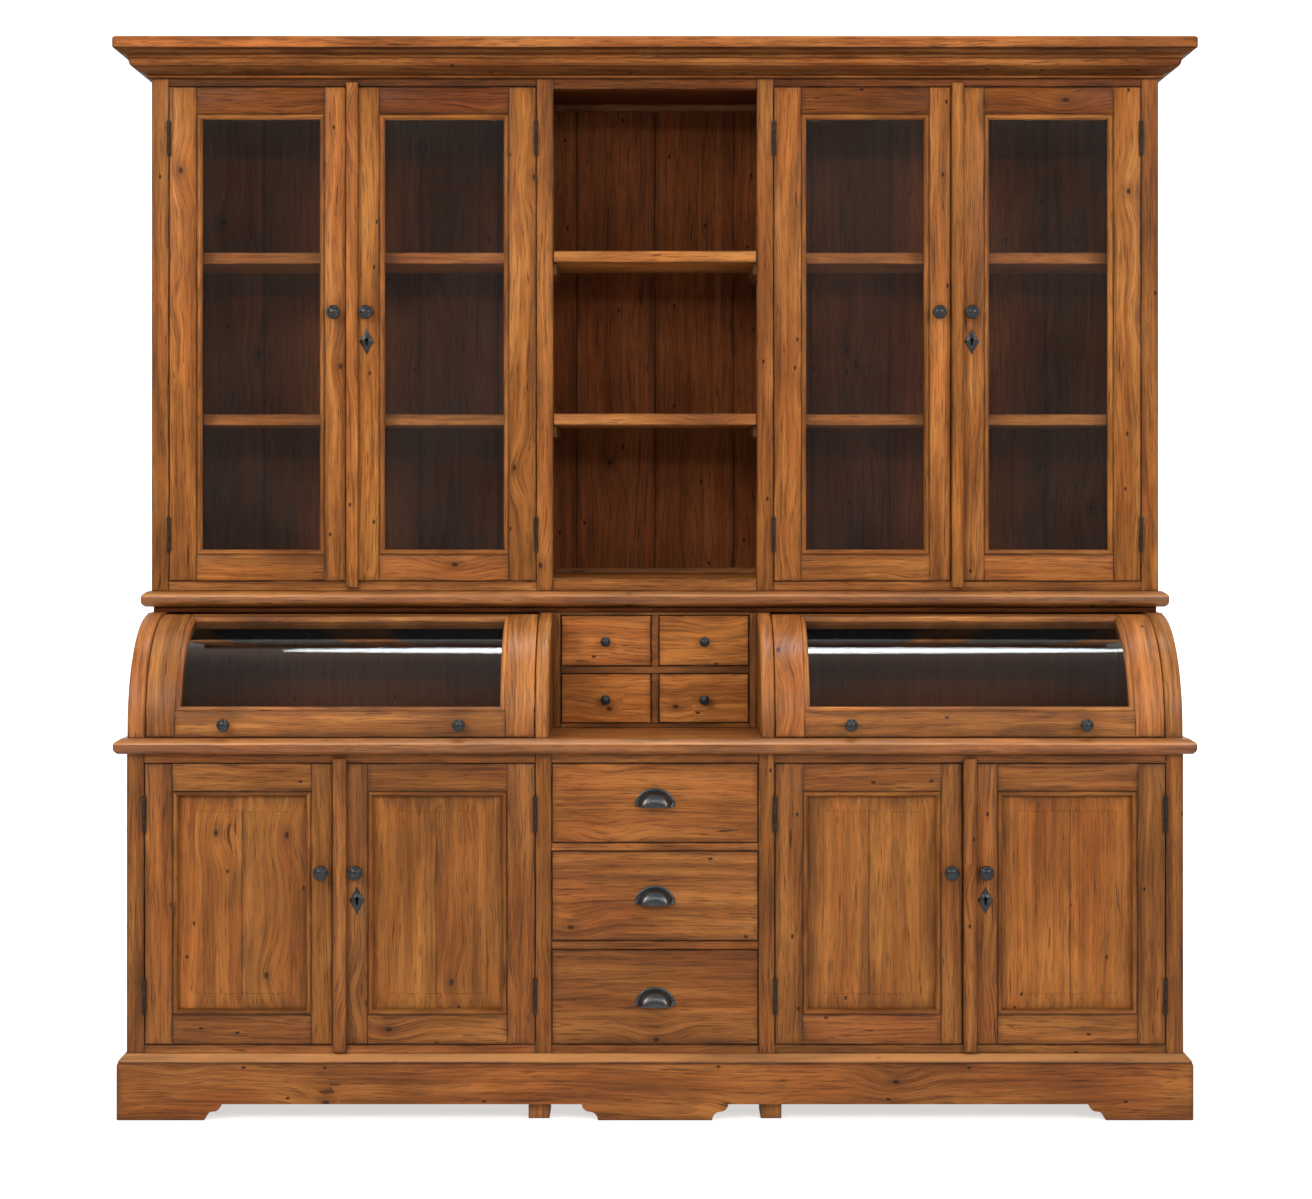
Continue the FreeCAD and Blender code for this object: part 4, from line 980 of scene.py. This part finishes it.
RO, RI = 222.0, 200.0
T0, TB, TT, T1 = -3.6, ROLL_LOW, ROLL_HIGH, 88.0
for tag, x0, x1 in (("left", -1019.5, -241.5), ("right", 241.5, 1019.5)):
    label = "rolltop_" + tag
    body = BODY[label + "_frame"]
    pc = Piece()
    w = 69.0
    fl, fr = x0 + w - BW, x1 - w + BW
    deg = math.degrees(1.0 / RO)
    for a, b in ((x0, fl), (fr, x1)):
        sec = [(a, RI), (b, RI), (b, RO - 1.0), (b - 1.0, RO), (a + 1.0, RO), (a, RO - 1.0)]
        pc.add(sweep(sec, T0, T1, 44), smooth=True, frame_fn=bent)
    tb, tt = TB - BW * deg, TT + BW * deg
    for lo, hi, n, rin in ((T0, tb, 8, RI), (tt, T1, 8, 207.0)):
        sec = [(fl, rin), (fr, rin), (fr, RO - 0.8), (fr - 0.8, RO), (fl + 0.8, RO), (fl, RO - 0.8)]
        pc.add(sweep(sec, lo, hi, n), "x", True, rnd=shade(-0.6))
    prof = BEAD + [(BW, RO - RI), (0.0, RO - RI)]
    thin = BEAD + [(BW, 15.0), (0.0, 15.0)]
    for s, xe in ((1, fl), (-1, fr)):
        pc.add(sweep([(xe + s * u, RO - t) for u, t in prof], tb, tt, 40, [u * deg for u, t in prof]), smooth=True, frame_fn=bent)
    for s, te, pr in ((1, tb, prof), (-1, tt, thin)):
        lo = [arc(RO - t, te + s * u * deg, fl + u) for u, t in pr]
        hi = [arc(RO - t, te + s * u * deg, fr - u) for u, t in pr]
        pc.add(strip_mesh(lo, hi), "x", True)
    pc.make(label + "_wood", TOP, body, label + "_frame", slot="aged_wood")
    gp = Piece()
    sec = [(x0 + w, 208.0), (x1 - w, 208.0), (x1 - w, 212.0), (x0 + w, 212.0)]
    gp.add(sweep(sec, TB, TT, 40), "x", True)
    gp.make(label + "_pane", ROLL_GLASS, body, label + "_glass", slot="glass")
    ip = Piece()
    for bm in IRONWORK[label + "_hardware"]:
        lo, hi = extent(bm)
        if lo[1] * 1000 + 276 > 0:
            ip.add(ease(clean(bm), 0.4, 1), "auto")
        else:
            bm.free()
    sgn = -1 if tag == "left" else 1
    for kx in (392, 862):
        a = math.radians(KNOB_DEG)
        ip.add(knob_mesh(12.8, sgn * kx, RC_D - RO * math.cos(a), RC_Z + RO * math.sin(a), 24, KNOB_DEG), "y", True)
    ip.make(label + "_iron", IRON, body, label + "_hardware", slot="dark_iron", angle=50)

# ------------------------------------------------------------------ drawer ironwork
def cup_mesh(pc, z):
    """Cup pull: half-round flange, pressed cup open below with a rolled lip, two screws."""
    n = 36
    wall, fl_w, fl_h = 1.5, 41.0, 37.0
    cup_w, cup_h, out = 33.5, 31.0, 24.0
    # flange: outer half ellipse, inner half ellipse where the cup rises
    bm = bmesh.new()

    def ring(w, h, d):
        return [bm.verts.new(at(w * math.cos(math.pi * k / n), d, z + h * math.sin(math.pi * k / n))) for k in range(n + 1)]

    rings = [ring(fl_w, fl_h, 0.0), ring(fl_w, fl_h, -1.5), ring(fl_w - 0.8, fl_h - 0.8, -2.3), ring(fl_w - 3.2, fl_h - 3.2, -2.5),
             ring(fl_w - 4.4, fl_h - 4.4, -1.7), ring(cup_w + 1.6, cup_h + 0.9, -1.7)]
    for k in range(1, 11):
        a = math.pi / 2 * k / 10
        s = math.cos(a) ** 0.72
        rings.append(ring(max(cup_w * (0.42 + 0.58 * s), 1), max(cup_h * s, 0.0) if k < 10 else 0.0, -1.7 - (out - 1.7) * math.sin(a) ** 0.9))
    inner = []
    for k in range(10, -1, -1):
        a = math.pi / 2 * k / 10
        s = math.cos(a) ** 0.72
        inner.append(ring(max((cup_w - wall) * (0.42 + 0.58 * s) - 0.4, 1), max((cup_h - wall) * s, 0.0) if k < 10 else 0.0, -min(0.9 + (out - wall - 0.9) * math.sin(a) ** 0.9, out - wall)))
    rings += inner
    for p, q in zip(rings, rings[1:]):
        for k in range(n):
            bm.faces.new((p[k], p[k + 1], q[k + 1], q[k]))
    bmesh.ops.remove_doubles(bm, verts=bm.verts, dist=1e-6)
    bmesh.ops.holes_fill(bm, edges=[e for e in bm.edges if len(e.link_faces) == 1], sides=0)
    bmesh.ops.recalc_face_normals(bm, faces=bm.faces)
    pc.add(bm, "x", True)
    for s in (-1, 1):
        pc.add(lathe([(3.0, 1.6), (3.0, 2.6), (2.3, 3.3), (1.0, 3.6), (0, 3.65)], s * 35.5, 0, z + 5.5, 0, 16), "y", True)


for i, z in ((1, 624), (2, 429), (3, 226)):
    pc = Piece()
    cup_mesh(pc, z)
    pc.make("large_drawer_%d_cup" % i, PULL, BODY["large_drawer_%d_pull" % i], "large_drawer_%d_pull" % i, slot="dark_iron", angle=60)
for row, z in (("upper", 941), ("lower", 820)):
    for tag, s in (("left", -1), ("right", 1)):
        n = "small_drawer_%s_%s_knob" % (row, tag)
        pc = Piece()
        pc.add(knob_mesh(10.5, 103 * s, 235, z, 20), "y", True)
        pc.make(n + "_turned", IRON, BODY[n], n, slot="dark_iron", angle=50)

# ------------------------------------------------------------------ floor, light, camera
def stage_floor():
    me = bpy.data.meshes.new("floor")
    w, y0, y1, r, h = 14.0, -10.0, 11.0, 2.5, 8.0
    prof = [(y0, 0.0)] + [(y1 - r + r * math.sin(a), r - r * math.cos(a)) for a in [math.pi / 2 * k / 16 for k in range(17)]] + [(y1, h)]
    vs, fs = [], []
    for y, z in prof:
        vs += [(-w, y, z), (w, y, z)]
    for i in range(len(prof) - 1):
        fs.append((2 * i, 2 * i + 1, 2 * i + 3, 2 * i + 2))
    me.from_pydata(vs, [], fs)
    me.polygons.foreach_set("use_smooth", [True] * len(fs))
    m = bpy.data.materials.new("pale_floor")
    t = Tree(m)
    c = t.add("ShaderNodeTexCoord").outputs["Object"]
    n = t.noise(c, 1.4, 3.0)
    bs = t.add("ShaderNodeBsdfPrincipled")
    t.link(t.ramp(n, [(0.3, (0.48, 0.48, 0.48)), (0.7, (0.52, 0.52, 0.52))]), bs.inputs["Base Color"])
    bs.inputs["Roughness"].default_value = 0.9
    bs.inputs["Specular IOR Level"].default_value = 0.1
    bs.inputs["Emission Color"].default_value = (1, 1, 1, 1)
    # painted light: the floor glows, more strongly on the far floor and the backdrop than round the feet, and the glow
    # round the feet lifts the shadow under the cabinet
    t.link(t.span(t.split(c)[1], 0.9, 3.4, 0.62, 1.06), bs.inputs["Emission Strength"])
    t.finish(bs.outputs[0])
    me.materials.append(m)
    o = bpy.data.objects.new("floor", me)
    scene.collection.objects.link(o)
    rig.stage(o)


stage_floor()


def area(name, loc, look, sx, sy, power, color=(1, 1, 1), shape="RECTANGLE"):
    l = bpy.data.lights.new(name, "AREA")
    l.shape = shape
    l.size, l.size_y, l.energy, l.color = sx, sy, power, color
    o = bpy.data.objects.new(name, l)
    o.location = loc
    o.rotation_euler = (Vector(look) - Vector(loc)).to_track_quat("-Z", "Y").to_euler()
    scene.collection.objects.link(o)
    return o


area("key", (-3.7, -4.4, 3.8), (0, 0, 0.95), 2.6, 2.2, 245, (1.0, 0.985, 0.96))
area("fill", (3.9, -4.6, 3.2), (0, 0, 0.95), 2.4, 2.2, 182, (0.98, 0.99, 1.0))
area("front", (0.0, -6.6, 3.12), (0, 0, 1.0), 5.6, 0.30, 96, (1.0, 0.99, 0.98))
area("overhead", (0.2, -0.10, 4.5), (0.2, -0.10, 0), 2.9, 0.56, 100, (0.86, 0.94, 1.0), "ELLIPSE")
world = bpy.data.worlds.new("studio")
scene.world = world
world.use_nodes = True
wt = world.node_tree
bg = wt.nodes["Background"]
tc = wt.nodes.new("ShaderNodeTexCoord")
sx = wt.nodes.new("ShaderNodeSeparateXYZ")
wt.links.new(tc.outputs["Generated"], sx.inputs[0])
mr = wt.nodes.new("ShaderNodeMapRange")
mr.interpolation_type = "SMOOTHSTEP"
mr.inputs["From Min"].default_value = 0.05
mr.inputs["From Max"].default_value = 0.95
mr.inputs["To Min"].default_value = 0.12
mr.inputs["To Max"].default_value = 0.80
wt.links.new(sx.outputs["Z"], mr.inputs["Value"])
bg.inputs["Color"].default_value = (1.0, 1.0, 1.0, 1)
wt.links.new(mr.outputs[0], bg.inputs["Strength"])

cam = bpy.data.cameras.new("camera")
cam.sensor_width = 36.0
cam.lens = 2700.0 / 1312.0 * 36.0
cam.shift_y = -(599.5 - 494.0) / 1312.0
cam.shift_x = 1.0 / 1312.0
cam.clip_end = 60
co = bpy.data.objects.new("camera", cam)
co.location = (0.0, -Y0 - 5.4, 1.249)
co.rotation_euler = (math.pi / 2, 0, 0)
scene.collection.objects.link(co)
scene.camera = co
scene.view_settings.view_transform = "Standard"

new_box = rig.bounds()
with open("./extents.json", "w") as f:
    json.dump({"cad": [list(map(float, c)) for c in CAD_BOX], "visual": [list(map(float, c)) for c in new_box]}, f)
